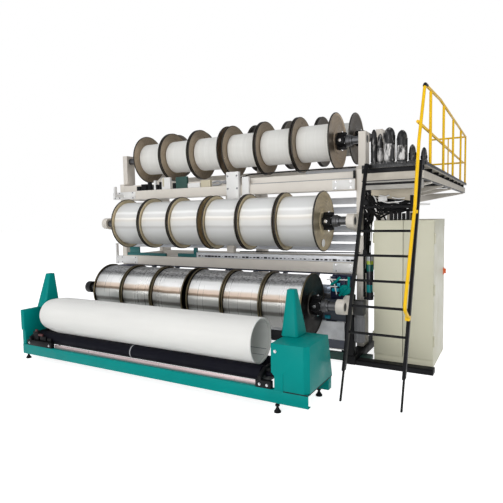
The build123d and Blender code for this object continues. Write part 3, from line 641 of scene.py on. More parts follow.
# The pale streaks are painted glints on the domes; on the cabled sleeves they also stand for pale cables.
DRIVE_PAINTED_GLINTS = Mottled("drive_housing", (0.003, 0.003, 0.004), (0.30, 0.29, 0.28), (1, 1, 0.35),
                (0.55, 0.66))
CABLED_PAINTED_GLINTS = Mottled("cabled_housing", (0.010, 0.010, 0.011), (0.72, 0.70, 0.68), (1, 1, 0.3), (0.42, 0.56))
DARK_TEAL = Enamel("dark_teal_enamel", (0.0, 0.12, 0.12), 0.35, 0.2, 0.1)
GREEN_PLATE = Enamel("green_plate", (0.012, 0.060, 0.048), 0.5, 0.2, 0.05)
BED_BLUE = Enamel("bed_blue_enamel", (0.05, 0.06, 0.085), 0.4, 0.2, 0.15)
YELLOW = Enamel("yellow_enamel", (0.93, 0.56, 0.004), 0.35, 0.08, 0.0, specular=0.25)
CABINET = Enamel("cabinet_enamel", (0.64, 0.62, 0.48), 0.38, 0.03, 0.0, specular=0.3, peel=0.00002)
PINK_STRIP = Brushed("pink_strip", (0.56, 0.44, 0.44), 0.35, Axis.X, 0.6)
STEEL = Brushed("ground_steel", (0.13, 0.13, 0.135), 0.42)
BRIGHT = Brushed("bright_steel", (0.62, 0.62, 0.63), 0.22, Axis.Z)
BLUED = Brushed("blued_plate", (0.36, 0.42, 0.52), 0.3, Axis.X, 0.8)
YARN_PLATE = Brushed("pale_blue_plate", (0.93, 0.95, 1.0), 0.4, Axis.X, 0.0)
STRIP = Brushed("sensor_strip_plate", (0.78, 0.79, 0.82), 0.4, Axis.X, 0.2)
DECK_BEAM = Enamel("deck_beam_grey", (0.40, 0.38, 0.345), 0.45, 0.15, 0.05)
COVER_BEIGE = Enamel("cover_beige", (0.60, 0.53, 0.41), 0.45, 0.12, 0.0)
RUBBER = Enamel("black_rubber", (0.004, 0.004, 0.008), 0.55, 0.2, 0.0, specular=0.08)
CLOTH = KnittedCloth("knitted_cloth", (0.80, 0.79, 0.755), (0.72, 0.71, 0.68))
# Pale core, its colour raised to near white as painted light inside the shaded roll.
CORE_PAINTED_LIGHT = Enamel("core_painted_light", (0.90, 0.89, 0.86), 0.8, 0.06, 0.0)
KICK = Banded("kick_panel_bands", ((0.0, (0.020, 0.028, 0.06)), (0.262, (0.93, 0.93, 0.95))))
SIGNAL = Banded("signal_bands", (
    (0.0, (0.02, 0.02, 0.03)), (0.83, (0.0, 0.34, 0.36)), (0.925, (0.02, 0.018, 0.03)),
    (1.10, (0.0, 0.15, 0.13)), (1.19, (0.46, 0.60, 0.04)), (1.235, (0.50, 0.52, 0.54))))
LETOFF = Banded("letoff_bands", ((0.0, (0.13, 0.13, 0.135)), (0.618, (0.008, 0.008, 0.009))),
                roughness=0.5, coat=0.0)
SWITCH = Banded("switch_bands", ((0.0, (0.60, 0.57, 0.44)), (2.9075, (0.83, 0.14, 0.01))), Axis.X)
# Channel bands: beige face; the black below is painted shade under the channel, the black above is the
# deck's black edge with painted shadow along it.
CHANNEL_PAINTED_SHADE = Banded("channel_bands_painted_shade", ((0.0, (0.012, 0.012, 0.013)), (2.220, (0.56, 0.51, 0.43)),
                                   (2.304, (0.02, 0.02, 0.02))), coat=0.0, roughness=0.5)
finish_of = Palette()


def outward(mesh: bmesh.types.BMesh) -> None:
    """Merge doubled points and turn every face outwards."""
    bmesh.ops.remove_doubles(mesh, verts=mesh.verts, dist=SAME_POINT)
    bmesh.ops.recalc_face_normals(mesh, faces=mesh.faces)


def made(name: str, mesh: bmesh.types.BMesh, finish: object) -> Obj:
    """Turn a working mesh into an object of the scene.

    Args:
        name: The piece's name.
        mesh: The working mesh, which is freed.
        finish: Its finish.

    Returns:
        The new object.
    """
    data = bpy.data.meshes.new(name)
    mesh.to_mesh(data)
    mesh.free()
    data.shade_smooth()
    data.set_sharp_from_angle(angle=SHADED_AS_ONE)
    data.materials.append(finish_of(finish))
    obj = bpy.data.objects.new(name, data)
    bpy.context.scene.collection.objects.link(obj)
    return obj


def plain(obj: Obj) -> Obj:
    """Apply an object's modifiers by making their result its own mesh.

    Args:
        obj: The object.

    Returns:
        The same object, with no modifier.
    """
    bpy.context.view_layer.update()
    evaluated = obj.evaluated_get(bpy.context.evaluated_depsgraph_get())
    result = bpy.data.meshes.new_from_object(evaluated)
    obj.modifiers.clear()
    if obj.type == "MESH":
        obj.data = result
        return obj
    solid = bpy.data.objects.new(obj.name, result)
    bpy.context.scene.collection.objects.link(solid)
    name = obj.name
    bpy.data.objects.remove(obj)
    solid.name = name
    return solid


def turned(name: str, outlines: list[Outline], centre: Point, finish: object, segments: int) -> Obj:
    """Turn closed outlines of (distance, radius) about a line along X through a centre.

    Args:
        name: The piece's name.
        outlines: One or more outlines, their distance measured from the centre.
        centre: A point on the axis.
        finish: The finish.
        segments: Faces round the axis.

    Returns:
        The piece.
    """
    mesh = bmesh.new()
    lathe(mesh, outlines, centre, segments, Axis.X)
    outward(mesh)
    return made(name, mesh, finish)


def join_rings(mesh: bmesh.types.BMesh, first: list[bmesh.types.BMVert],
               second: list[bmesh.types.BMVert]) -> None:
    """Add the faces between two rings with the same number of points."""
    for step in range(len(first)):
        after = (step + 1) % len(first)
        mesh.faces.new((first[step], first[after], second[after], second[step]))


def lathe(mesh: bmesh.types.BMesh, outlines: list[Outline], centre: Point, segments: int,
          axis: Axis) -> None:
    """Add closed turned outlines to a working mesh.

    Args:
        mesh: The working mesh.
        outlines: Outlines of (distance, radius).
        centre: A point on the axis.
        segments: Faces round the axis.
        axis: The line's direction, along X or Z.
    """
    for outline in outlines:
        rings = []
        for x, radius in outline:
            ring = []
            for step in range(segments):
                angle = math.tau * step / segments
                round_x, round_y = radius * math.cos(angle), radius * math.sin(angle)
                spot = (round_x, round_y, x) if axis is Axis.Z else (x, round_x, round_y)
                ring.append(mesh.verts.new(Vector(centre) + Vector(spot)))
            rings.append(ring)
        for first, second in zip(rings, rings[1:] + rings[:1]):
            join_rings(mesh, first, second)


def cluster(name: str, blocks: Blocks, finish: object, edge: float) -> Obj:
    """Small bevelled blocks in one piece.

    Args:
        name: The piece's name.
        blocks: Lowest and highest corner of each.
        finish: The finish.
        edge: Width of the bevels.

    Returns:
        The piece.
    """
    mesh = bmesh.new()
    for low, high in blocks:
        slab(mesh, low, high, edge)
    return made(name, mesh, finish)


def round_box(low: Vector, high: Vector) -> tuple[Point, float]:
    """A point on the axis, and the radius, of a round thing that lies along X.

    Args:
        low: Lowest corner of its box.
        high: Highest corner of its box.

    Returns:
        The point and the radius.
    """
    return (0.0, (low.y + high.y) / 2, (low.z + high.z) / 2), (high.z - low.z) / 2


def islands(node: str) -> list[tuple[Vector, Vector]]:
    """The boxes of a CAD node's separate solids.

    Args:
        node: The CAD node.

    Returns:
        Lowest and highest corner of each solid, from left to right.
    """
    mesh = bmesh.new()
    mesh.from_mesh(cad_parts[node].data)
    bmesh.ops.remove_doubles(mesh, verts=mesh.verts, dist=SAME_CAD_POINT)
    seen: set[bmesh.types.BMVert] = set()
    boxes = []
    for vert in mesh.verts:
        if vert in seen:
            continue
        group, queue = [], [vert]
        seen.add(vert)
        while queue:
            current = queue.pop()
            group.append(current.co.copy())
            for edge in current.link_edges:
                other = edge.other_vert(current)
                if other not in seen:
                    seen.add(other)
                    queue.append(other)
        boxes.append((Vector(min(p[i] for p in group) for i in range(3)),
                      Vector(max(p[i] for p in group) for i in range(3))))
    mesh.free()
    return sorted(boxes, key=lambda box: tuple(box[0]))


def tubes(name: str, paths: list[list[Point]], radius: float, finish: object, bend: float,
          sides: int) -> Obj:
    """Round tubes along paths, with rounded corners.

    Args:
        name: The piece's name.
        paths: The corner points of each tube.
        radius: The tubes' radius.
        finish: The finish.
        bend: Length cut from each side of a corner to round it.
        sides: Faces round a tube.

    Returns:
        The piece.
    """
    mesh = bmesh.new()
    for path in paths:
        spots = rounded_path([Vector(p) for p in path], bend)
        before = None
        side = None
        for index, spot in enumerate(spots):
            ahead = spots[min(index + 1, len(spots) - 1)] - spots[max(index - 1, 0)]
            ahead.normalize()
            if side is None:
                side = ahead.orthogonal().normalized()
            side = (side - ahead * side.dot(ahead)).normalized()
            over = ahead.cross(side)
            ring = []
            for step in range(sides):
                angle = math.tau * step / sides
                out = side * math.cos(angle) + over * math.sin(angle)
                ring.append(mesh.verts.new(spot + out * radius))
            if before:
                join_rings(mesh, before, ring)
            else:
                mesh.faces.new(ring)
            before = ring
        mesh.faces.new(list(reversed(before)))
    outward(mesh)
    return made(name, mesh, finish)


def rounded_path(corners: list[Vector], bend: float, steps: int = 6) -> list[Vector]:
    """A path whose corners are rounded.

    Args:
        corners: The corner points.
        bend: Length cut from each side of a corner.
        steps: Points round each corner.

    Returns:
        The points of the rounded path.
    """
    if bend <= 0 or len(corners) < 3:
        return corners
    spots = [corners[0]]
    for before, corner, after in zip(corners, corners[1:], corners[2:]):
        reach = min(bend, 0.45 * (corner - before).length, 0.45 * (after - corner).length)
        start = corner + (before - corner).normalized() * reach
        end = corner + (after - corner).normalized() * reach
        for step in range(steps + 1):
            t = step / steps
            spots.append(start.lerp(corner, t).lerp(corner.lerp(end, t), t))
    spots.append(corners[-1])
    return spots


def bevelled(mesh: bmesh.types.BMesh, parts: list[bmesh.types.BMVert] | list[bmesh.types.BMFace],
             width: float) -> None:
    """Bevel the edges of some points or faces, in a fixed order, unless the width is zero.

    Args:
        mesh: The working mesh.
        parts: The points or faces.
        width: Width of the bevel.
    """
    if width > 0:
        edges = dict.fromkeys(e for part in parts
                              for e in (part.link_edges if hasattr(part, "link_edges") else part.edges))
        bmesh.ops.bevel(mesh, geom=list(edges), offset=width, segments=2, affect="EDGES",
                        profile=0.6, clamp_overlap=True)


def slab(mesh: bmesh.types.BMesh, low: Point, high: Point, edge: float) -> None:
    """Add a block with bevelled edges to a working mesh.

    Args:
        mesh: The working mesh.
        low: Its lowest corner.
        high: Its highest corner.
        edge: Width of the bevel.
    """
    size = Vector(high) - Vector(low)
    middle = (Vector(high) + Vector(low)) / 2
    place = Matrix.Translation(middle) @ Matrix.Diagonal((*size, 1.0))
    block = bmesh.ops.create_cube(mesh, size=1.0, matrix=place)
    bevelled(mesh, block["verts"], edge)


def prism(mesh: bmesh.types.BMesh, outline: list[Point], along: Vector, edge: float) -> None:
    """Add a prism with bevelled edges to a working mesh.

    Args:
        mesh: The working mesh.
        outline: The corner points of one end.
        along: From one end to the other.
        edge: Width of the bevel.
    """
    near = [mesh.verts.new(p) for p in outline]
    far = [mesh.verts.new(Vector(p) + along) for p in outline]
    faces = [mesh.faces.new(near), mesh.faces.new(list(reversed(far)))]
    for index in range(len(outline)):
        after = (index + 1) % len(outline)
        faces.append(mesh.faces.new((near[after], near[index], far[index], far[after])))
    bmesh.ops.recalc_face_normals(mesh, faces=faces)
    bevelled(mesh, faces, edge)


def eased(node: str, edge: float, finish: object) -> Obj:
    """A merged copy of a CAD node with its sharp edges rounded.

    Args:
        node: The CAD node.
        edge: Width of the rounding.
        finish: The finish.

    Returns:
        The copy, which has not yet replaced the node.
    """
    mesh = bmesh.new()
    mesh.from_mesh(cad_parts[node].data)
    bmesh.ops.remove_doubles(mesh, verts=mesh.verts, dist=SAME_CAD_POINT)
    bmesh.ops.dissolve_limit(mesh, angle_limit=FLAT_ENOUGH, verts=mesh.verts, edges=mesh.edges)
    obj = made(f"{node}_finished", mesh, finish)
    if edge > 0:
        bevel = obj.modifiers.new("rounding", "BEVEL")
        bevel.width = edge
        bevel.segments = 2
        bevel.limit_method = "ANGLE"
        bevel.angle_limit = SHARP_EDGE
        bevel.harden_normals = False
        plain(obj)
        obj.data.set_sharp_from_angle(angle=SHADED_AS_ONE)
    return obj


class Pattern(Wiring):
    """A Geometry Nodes tree that repeats a shape, built once and used by many pieces."""

    name = "pattern"

    def __init__(self) -> None:
        """Build the tree with its named inputs."""
        self.tree = bpy.data.node_groups.new(self.name, "GeometryNodeTree")
        self.keys: dict[str, str] = {}
        self.tree.interface.new_socket(name="Geometry", in_out="OUTPUT",
                                       socket_type="NodeSocketGeometry")
        self.socket("Points", "NodeSocketGeometry")
        self.source = self.tree.nodes.new("NodeGroupInput")
        result = self.lay_out()
        finish = self.socket("Finish", "NodeSocketMaterial")
        realize = self.node("GeometryNodeRealizeInstances", Geometry=result)
        dress = self.node("GeometryNodeSetMaterial", Geometry=realize.outputs[0],
                          Material=finish)
        output = self.tree.nodes.new("NodeGroupOutput")
        self.tree.links.new(dress.outputs[0], output.inputs[0])

    def socket(self, name: str, kind: str) -> Socket:
        """Add a named input.

        Args:
            name: The input's name.
            kind: Its socket type.

        Returns:
            The matching output of the group's input node, once that node is there.
        """
        made_socket = self.tree.interface.new_socket(name=name, in_out="INPUT", socket_type=kind)
        self.keys[name] = made_socket.identifier
        return self.source.outputs[name] if hasattr(self, "source") else None

    def lay_out(self) -> Socket:
        """Lay the repeated shapes out.

        Returns:
            The geometry with its instances.
        """
        raise NotImplementedError

    def grow(self, name: str, points: bpy.types.Mesh, finish: object, **sizes: object) -> Obj:
        """Run the tree and keep its result as a plain mesh.

        Args:
            name: The piece's name.
            points: The mesh whose points carry the shapes.
            finish: The finish.
            **sizes: Input values by name, with underscores for spaces.

        Returns:
            The piece.
        """
        obj = bpy.data.objects.new(name, points)
        bpy.context.scene.collection.objects.link(obj)
        run = obj.modifiers.new(self.name, "NODES")
        run.node_group = self.tree
        run[self.keys["Finish"]] = finish_of(finish)
        for key, value in sizes.items():
            run[self.keys[key.replace("_", " ")]] = list(value) if isinstance(value, tuple) else value
        return plain(obj)

    def product(self, value: Socket, factor: float) -> Socket:
        """A socket's value times a number."""
        times = self.node("ShaderNodeMath", {"operation": "MULTIPLY"})
        self.tree.links.new(value, times.inputs[0])
        times.inputs[1].default_value = factor
        return times.outputs[0]

    def random(self, low: float, high: float, seed: int) -> Socket:
        """A random number for each instance, the same in every run.

        Args:
            low: The least value.
            high: The greatest value.
            seed: The seed.

        Returns:
            The number.
        """
        chance = self.node("FunctionNodeRandomValue", {"data_type": "FLOAT"}, Seed=seed)
        chance.inputs[2].default_value = low
        chance.inputs[3].default_value = high
        return chance.outputs[1]


def spots_mesh(spots: list[tuple[Point, Point, float]]) -> bpy.types.Mesh:
    """A mesh of loose points that carry a direction and a size.

    Args:
        spots: Place, outward direction and relative size of each.

    Returns:
        The mesh.
    """
    mesh = bpy.data.meshes.new("spots")
    mesh.from_pydata([place for place, _, _ in spots], [], [])
    facing = mesh.attributes.new("facing", "FLOAT_VECTOR", "POINT")
    facing.data.foreach_set("vector", [c for _, out, _ in spots for c in out])
    size = mesh.attributes.new("size", "FLOAT", "POINT")
    size.data.foreach_set("value", [scale for _, _, scale in spots])
    return mesh


class Bolts(Pattern):
    """Bolt heads on washers, one on each point, facing out."""

    name = "bolt_heads"

    def lay_out(self) -> Socket:
        """Put a head and a washer on each point.

        Returns:
            The instances.
        """
        width = self.socket("Head width", "NodeSocketFloat")
        height = self.socket("Head height", "NodeSocketFloat")
        sides = self.socket("Sides", "NodeSocketInt")
        parts = []
        for share, rise, count in ((0.5, 1.0, sides), (0.72, 0.3, WASHER_SIDES)):
            radius = self.product(width, share)
            depth = self.product(height, rise)
            drum = self.node("GeometryNodeMeshCylinder", Vertices=count, Radius=radius, Depth=depth)
            lift = self.node("ShaderNodeCombineXYZ", Z=self.product(depth, 0.5))
            parts.append(self.node("GeometryNodeTransform", Geometry=drum.outputs[0],
                                   Translation=lift.outputs[0]).outputs[0])
        head = self.node("GeometryNodeJoinGeometry")
        for part in parts:
            self.tree.links.new(part, head.inputs[0])
        facing = self.node("GeometryNodeInputNamedAttribute", {"data_type": "FLOAT_VECTOR"},
                           Name="facing")
        turn = self.node("FunctionNodeAlignRotationToVector", {"axis": "Z"},
                         Vector=facing.outputs[0])
        size = self.node("GeometryNodeInputNamedAttribute", {"data_type": "FLOAT"}, Name="size")
        placed = self.node("GeometryNodeInstanceOnPoints", Points=self.source.outputs["Points"],
                           Instance=head.outputs[0], Rotation=turn.outputs[0],
                           Scale=size.outputs[0])
        spin = self.node("ShaderNodeCombineXYZ", Z=self.random(0.0, math.pi / 3, 7))
        return self.node("GeometryNodeRotateInstances", Instances=placed.outputs[0],
                         Rotation=spin.outputs[0]).outputs[0]


class Rank(Pattern):
    """Blocks in a straight rank, each cut short by chance where a share is given."""

    name = "rank_of_blocks"

    def lay_out(self) -> Socket:
        """Put a block on each place of the rank.

        Returns:
            The instances.
        """
        line = self.node("GeometryNodeMeshLine", {"mode": "OFFSET"},
                         Count=self.socket("Count", "NodeSocketInt"),
                         Start_Location=self.socket("Start", "NodeSocketVector"),
                         Offset=self.socket("Step", "NodeSocketVector"))
        block = self.node("GeometryNodeMeshCube", Size=self.socket("Size", "NodeSocketVector"))
        least = self.socket("Least share", "NodeSocketFloat")
        share = self.node("FunctionNodeRandomValue", {"data_type": "FLOAT"}, Seed=11)
        self.tree.links.new(least, share.inputs[2])
        share.inputs[3].default_value = 1.0
        scale = self.node("ShaderNodeCombineXYZ", X=share.outputs[1], Y=1.0, Z=share.outputs[1])
        return self.node("GeometryNodeInstanceOnPoints", Points=line.outputs[0],
                         Instance=block.outputs[0], Scale=scale.outputs[0]).outputs[0]


class Crown(Pattern):
    """Upright ribs in a ring, facing out."""

    name = "crown_of_ribs"

    def lay_out(self) -> Socket:
        """Put a rib on each place of the ring.

        Returns:
            The instances.
        """
        ring = self.node("GeometryNodeMeshCircle", Vertices=self.socket("Count", "NodeSocketInt"),
                         Radius=self.socket("Radius", "NodeSocketFloat"))
        place = self.node("GeometryNodeInputPosition")
        turn = self.node("FunctionNodeAlignRotationToVector", {"axis": "X"}, Vector=place.outputs[0])
        rib = self.node("GeometryNodeMeshCube", Size=self.socket("Size", "NodeSocketVector"))
        placed = self.node("GeometryNodeInstanceOnPoints", Points=ring.outputs[0],
                           Instance=rib.outputs[0], Rotation=turn.outputs[0])
        return self.node("GeometryNodeTransform", Geometry=placed.outputs[0],
                         Translation=self.socket("Centre", "NodeSocketVector")).outputs[0]


class Patterns:
    """The Geometry Nodes trees, each built once."""

    def __init__(self) -> None:
        """Build the trees."""
        self.bolts = Bolts()
        self.rank = Rank()
        self.crown = Crown()


patterns = Patterns()


@dataclass
class SubAssembly:
    """A group of pieces that belong together."""

    title: str = "sub-assembly"
    pieces: list[Obj] = field(default_factory=list)

    def fit(self, obj: Obj, body: Body, *nodes: str, slot: str | None = None) -> Obj:
        """Let a piece ride on its body and stand for the nodes it replaces.

        Args:
            obj: The piece.
            body: The body it moves with.
            *nodes: The CAD nodes it replaces.
            slot: Not used.

        Returns:
            The piece.
        """
        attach(obj, body.value)
        if nodes:
            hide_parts(*nodes)
        self.pieces.append(obj)
        return obj

    def ease(self, node: str, edge: float, finish: object, body: Body = Body.MACHINE) -> Obj:
        """Replace a CAD node by a copy with rounded edges."""
        return self.fit(eased(node, edge, finish), body, node)

    def ease_all(self, finish: object, **edges: float) -> None:
        """Ease CAD nodes of the machine that share a finish.

        Args:
            finish: The finish.
            **edges: Width of the rounding by node.
        """
        for node, edge in edges.items():
            self.ease(node, edge, finish)

    def blocks(self, name: str, boxes: Blocks, finish: object, slot: str, edge: float = 0.004) -> Obj:
        """Set bevelled blocks on the machine, in one piece.

        Args:
            name: The piece's name.
            boxes: Lowest and highest corner of each block.
            finish: The finish.
            slot: Not used.
            edge: Width of the bevels.

        Returns:
            The piece.
        """
        return self.fit(cluster(name, boxes, finish, edge), Body.MACHINE, slot=slot)

    def pipes(self, name: str, paths: list[list[Point]], radius: float, finish: object, slot: str,
              bend: float = 0.0, sides: int = 16, body: Body = Body.MACHINE) -> Obj:
        """Lay round tubes, in one piece.

        Args:
            name: The piece's name.
            paths: The corner points of each tube.
            radius: The tubes' radius.
            finish: The finish.
            slot: Not used.
            bend: Length cut from each side of a corner to round it.
            sides: Faces round a tube.
            body: The body they move with.

        Returns:
            The piece.
        """
        return self.fit(tubes(name, paths, radius, finish, bend, sides), body, slot=slot)

    def bolt(self, name: str, body: Body, spots: list[tuple[Point, Point, float]]) -> Obj:
        """Set bolt heads on a body.

        Args:
            name: The piece's name.
            body: The body they ride on.
            spots: Place, outward direction and relative size of each.

        Returns:
            The piece.
        """
        heads = patterns.bolts.grow(name, spots_mesh(spots), BRIGHT, Head_width=BOLT_WIDTH,
                                    Head_height=BOLT_HEIGHT, Sides=6)
        return self.fit(heads, body, slot="shaft_steel")

    def rank(self, name: str, body: Body, finish: object, slot: str, **sizes: object) -> Obj:
        """Set a rank of blocks on a body.

        Args:
            name: The piece's name.
            body: The body they ride on.
            finish: The finish.
            slot: Not used.
            **sizes: The rank's inputs.

        Returns:
            The piece.
        """
        blocks = patterns.rank.grow(name, bpy.data.meshes.new(name), finish, **sizes)
        return self.fit(blocks, body, slot=slot)

    def build(self) -> None:
        """Build every piece of the group."""
        raise NotImplementedError

    def report(self) -> None:
        """Log the pieces that were built."""
        for piece in self.pieces:
            log.info("%s: %s, %d faces", self.title, piece.name, len(piece.data.polygons))


@dataclass
class MachineFrame(SubAssembly):
    """Side frames, cross beams and the fittings on them."""

    title: str = "machine frame"
    edge: float = 0.006

    def build(self) -> None:
        """Dress the frame."""
        edge = self.edge
        self.ease_all(BLACK, base_sills=edge)
        self.ease_all(CREAM, side_posts=edge, side_beams=edge, cross_beams=edge, centre_columns=edge)
        self.ease_all(BLACK, lower_row_legs=edge)
        self.ease_all(PALE_PLATE, beam_fittings=0.003)
        self.ease_all(BEARING, beam_bearings=0.004)
        self.build_upper_ledge()
        self.build_lower_ledge()
        self.build_cables()
        self.build_bolts()

    def build_upper_ledge(self) -> None:
        """Fit the small parts on the ledge of the upper beam, and the pipe over its right half."""
        front, back, foot = -0.648, -0.6015, 2.2905
        dark = [((x, front + 0.004, foot), (x + wide, back, foot + tall))
                for x, wide, tall in ((-1.74, 0.07, 0.07), (-1.64, 0.11, 0.10), (-1.50, 0.06, 0.13),
                                      (-1.41, 0.12, 0.08), (-1.26, 0.04, 0.12), (-0.99, 0.05, 0.09))]
        dark.append(((1.925, -0.640, 2.292), (1.953, -0.605, 2.395)))
        self.blocks("ledge_dark_parts", dark, BLACK, "dark_steel")
        pale = [((x0, front, foot), (x1, back, top))
                for x0, x1, top in ((-1.205, -1.035, 2.475), (-0.69, -0.46, 2.36), (-1.37, -1.33, 2.44))]
        pale.append(((-2.2695, -0.6545, 1.0655), (-2.236, -0.6065, 1.415)))
        self.blocks("ledge_pale_boxes", pale, PALE_PLATE, "panel_grey", 0.006)
        self.blocks("ledge_green_plate", [((-0.92, front, foot), (-0.705, back, 2.47))], GREEN_PLATE,
                    "teal_enamel", 0.003)
        beige = [((-0.445, front, foot), (-0.27, back, 2.395)),
                 ((-1.19, front - 0.001, 2.33), (-1.15, back, 2.47))]
        self.blocks("ledge_beige_box", beige, BEIGE, "panel_grey", 0.006)
        grey = [[(x, -0.625, z) for x, z in line]
                for line in (((-0.24, 2.315), (-0.12, 2.315), (-0.05, 2.36), (0.02, 2.36)),
                             ((-0.24, 2.35), (-0.15, 2.37), (0.0, 2.33)))]
        self.pipes("ledge_grey_pipes", grey, 0.015, GREY, "panel_grey", 0.03)
        sheet = [((1.262, -0.6008, 2.388), (1.945, -0.5985, 2.425)),
                 ((0.43, -0.640, 2.2905), (1.93, -0.602, 2.30))]
        self.blocks("ledge_grey_sheet", sheet, GREY, "panel_grey", 0.001)
        black = [[(x, -0.625, z) for x, z in ((0.245, 2.392), (0.40, 2.433), (1.16, 2.437), (1.96, 2.433))]]
        self.pipes("ledge_black_pipe", black, 0.0085, BLACK, "dark_steel", 0.05)

    def build_lower_ledge(self) -> None:
        """Fit the thread sensor strip, its connectors and the teal covers on the lower beam."""
        strip = [((-0.56, -0.645, 1.2155), (1.953, -0.622, 1.292))]
        self.blocks("sensor_strip", strip, STRIP, "plate_blue", 0.002)
        self.rank("sensor_connectors", Body.MACHINE, BLACK, "dark_steel", Count=41,
                  Start=(-0.50, -0.648, 1.240), Step=(0.0605, 0.0, 0.0), Size=(0.056, 0.010, 0.026),
                  Least_share=0.12)
        covers = [((-2.0, -0.645, 1.2155), (-1.18, -0.60, 1.262)),
                  ((-1.95, -0.640, 1.262), (-1.74, -0.61, 1.36)),
                  ((-0.925, -0.645, 1.2155), (-0.57, -0.60, 1.27)),
                  ((-0.62, -0.640, 1.262), (-0.55, -0.61, 1.36))]
        self.blocks("ledge_teal_covers", covers, DARK_TEAL, "teal_enamel", 0.006)
        # Navy strip under the lower beam: painted shadow in the gap below the beam, together with the black
        # parts there.
        shade = [((-2.055, -0.630, 1.045), (1.953, -0.56, 1.0645))]
        self.blocks("lower_beam_painted_shadow", shade, NAVY, "dark_steel", 0.003)
        pipe = [[(0.236, -0.662, 1.325), (1.2, -0.664, 1.335), (2.02, -0.664, 1.343)]]
        self.pipes("lower_beam_pipe", pipe, 0.0075, BLACK, "dark_steel")

    def build_cables(self) -> None:
        """Hang the cables down the outside of the right front post.

        The pale tubes are painted glints, pale streaks of light on the cables. They wrap no cable.
        """
        face, tangle = 2.052, -0.61
        runs = []
        for step, (y, top, low, reach) in enumerate((
                (-0.60, 2.03, 0.80, 0.012), (-0.555, 2.36, 1.40, 0.02), (-0.52, 2.34, 1.10, 0.035),
                (-0.48, 2.36, 1.55, 0.02), (-0.44, 2.35, 1.30, 0.04), (-0.395, 2.36, 1.45, 0.025),
                (-0.62, 1.98, 1.35, 0.045), (-0.53, 1.99, 1.62, 0.07), (-0.45, 2.0, 1.70, 0.08))):
            x = face + reach
            sway = 0.02 * (-1) ** step
            runs.append([(x, y, top), (x + 0.01, y + sway, (top + low) / 2 + 0.1),
                         (x, y - sway, (top + low) / 2 - 0.1), (x - reach / 2, y, low)])
        self.pipes("post_cables", runs, 0.013, BLACK, "dark_steel", 0.12)
        glands = [((2.0505, y - 0.02, z - 0.03), (x + 0.018, y + 0.02, z + 0.03))
                  for run in runs for x, y, z in (run[0], run[-1])]
        self.blocks("post_cable_glands", glands, BLACK, "dark_steel")
        boxes = [((face, -0.585, 1.93), (2.13, -0.44, 2.03)), ((face, -0.56, 1.60), (2.10, -0.42, 1.78)),
                 ((face, -0.54, 2.12), (2.12, -0.40, 2.20)), ((2.0502, -0.598, 1.36), (2.056, -0.364, 2.37))]
        self.blocks("post_junction_boxes", boxes, BLACK, "dark_steel", 0.002)
        pale = [[(2.10, -0.60, 1.99), (2.14, tangle, 1.90), (2.12, tangle, 1.84)],
                [(2.06, tangle, 1.94), (2.11, -0.62, 1.86)],
                [(2.09, tangle, 2.17), (2.12, -0.615, 2.10), (2.10, tangle, 2.05)],
                [(2.135, -0.60, 2.22), (2.15, tangle, 2.12)],
                [(2.08, tangle, 1.78), (2.13, -0.615, 1.72), (2.15, -0.60, 1.66)]]
        # Painted glints: pale tubes laid over the cables.
        self.pipes("post_painted_glints", pale, 0.009, PALE_PLATE, "panel_grey", 0.03)
        loops = []
        for step in range(8):
            drop = 0.085 * step
            loops.append([(2.06, -0.605, 2.26 - drop), (2.12 + 0.012 * (step % 3), -0.63, 2.21 - drop),
                          (2.10 + 0.020 * (step % 2), -0.62, 2.10 - drop), (2.06, -0.603, 2.08 - drop)])
        self.pipes("post_looped_hoses", loops, 0.011, BLACK, "dark_steel", 0.05)

    def build_bolts(self) -> None:
        """Bolt the end plates, bearing arms, saddle and frame together."""
        front = Axis.Y.vector() * -1
        groups = (((-2.22, -2.12, -1.82, 1.70, 1.90), -0.6562, (1.10, 1.18, 2.18, 2.26), 0.75),
                  ((0.085, 0.24), -0.7152, (2.05, 2.24, 2.42), 0.9),
                  ((-2.14, -2.08, 1.975, 2.03), -0.6003, (1.58, 1.80), 0.9))
        spots = [((x, y, z), front, size) for xs, y, zs, size in groups for x in xs for z in zs]
        self.bolt("frame_bolts", Body.MACHINE, spots)


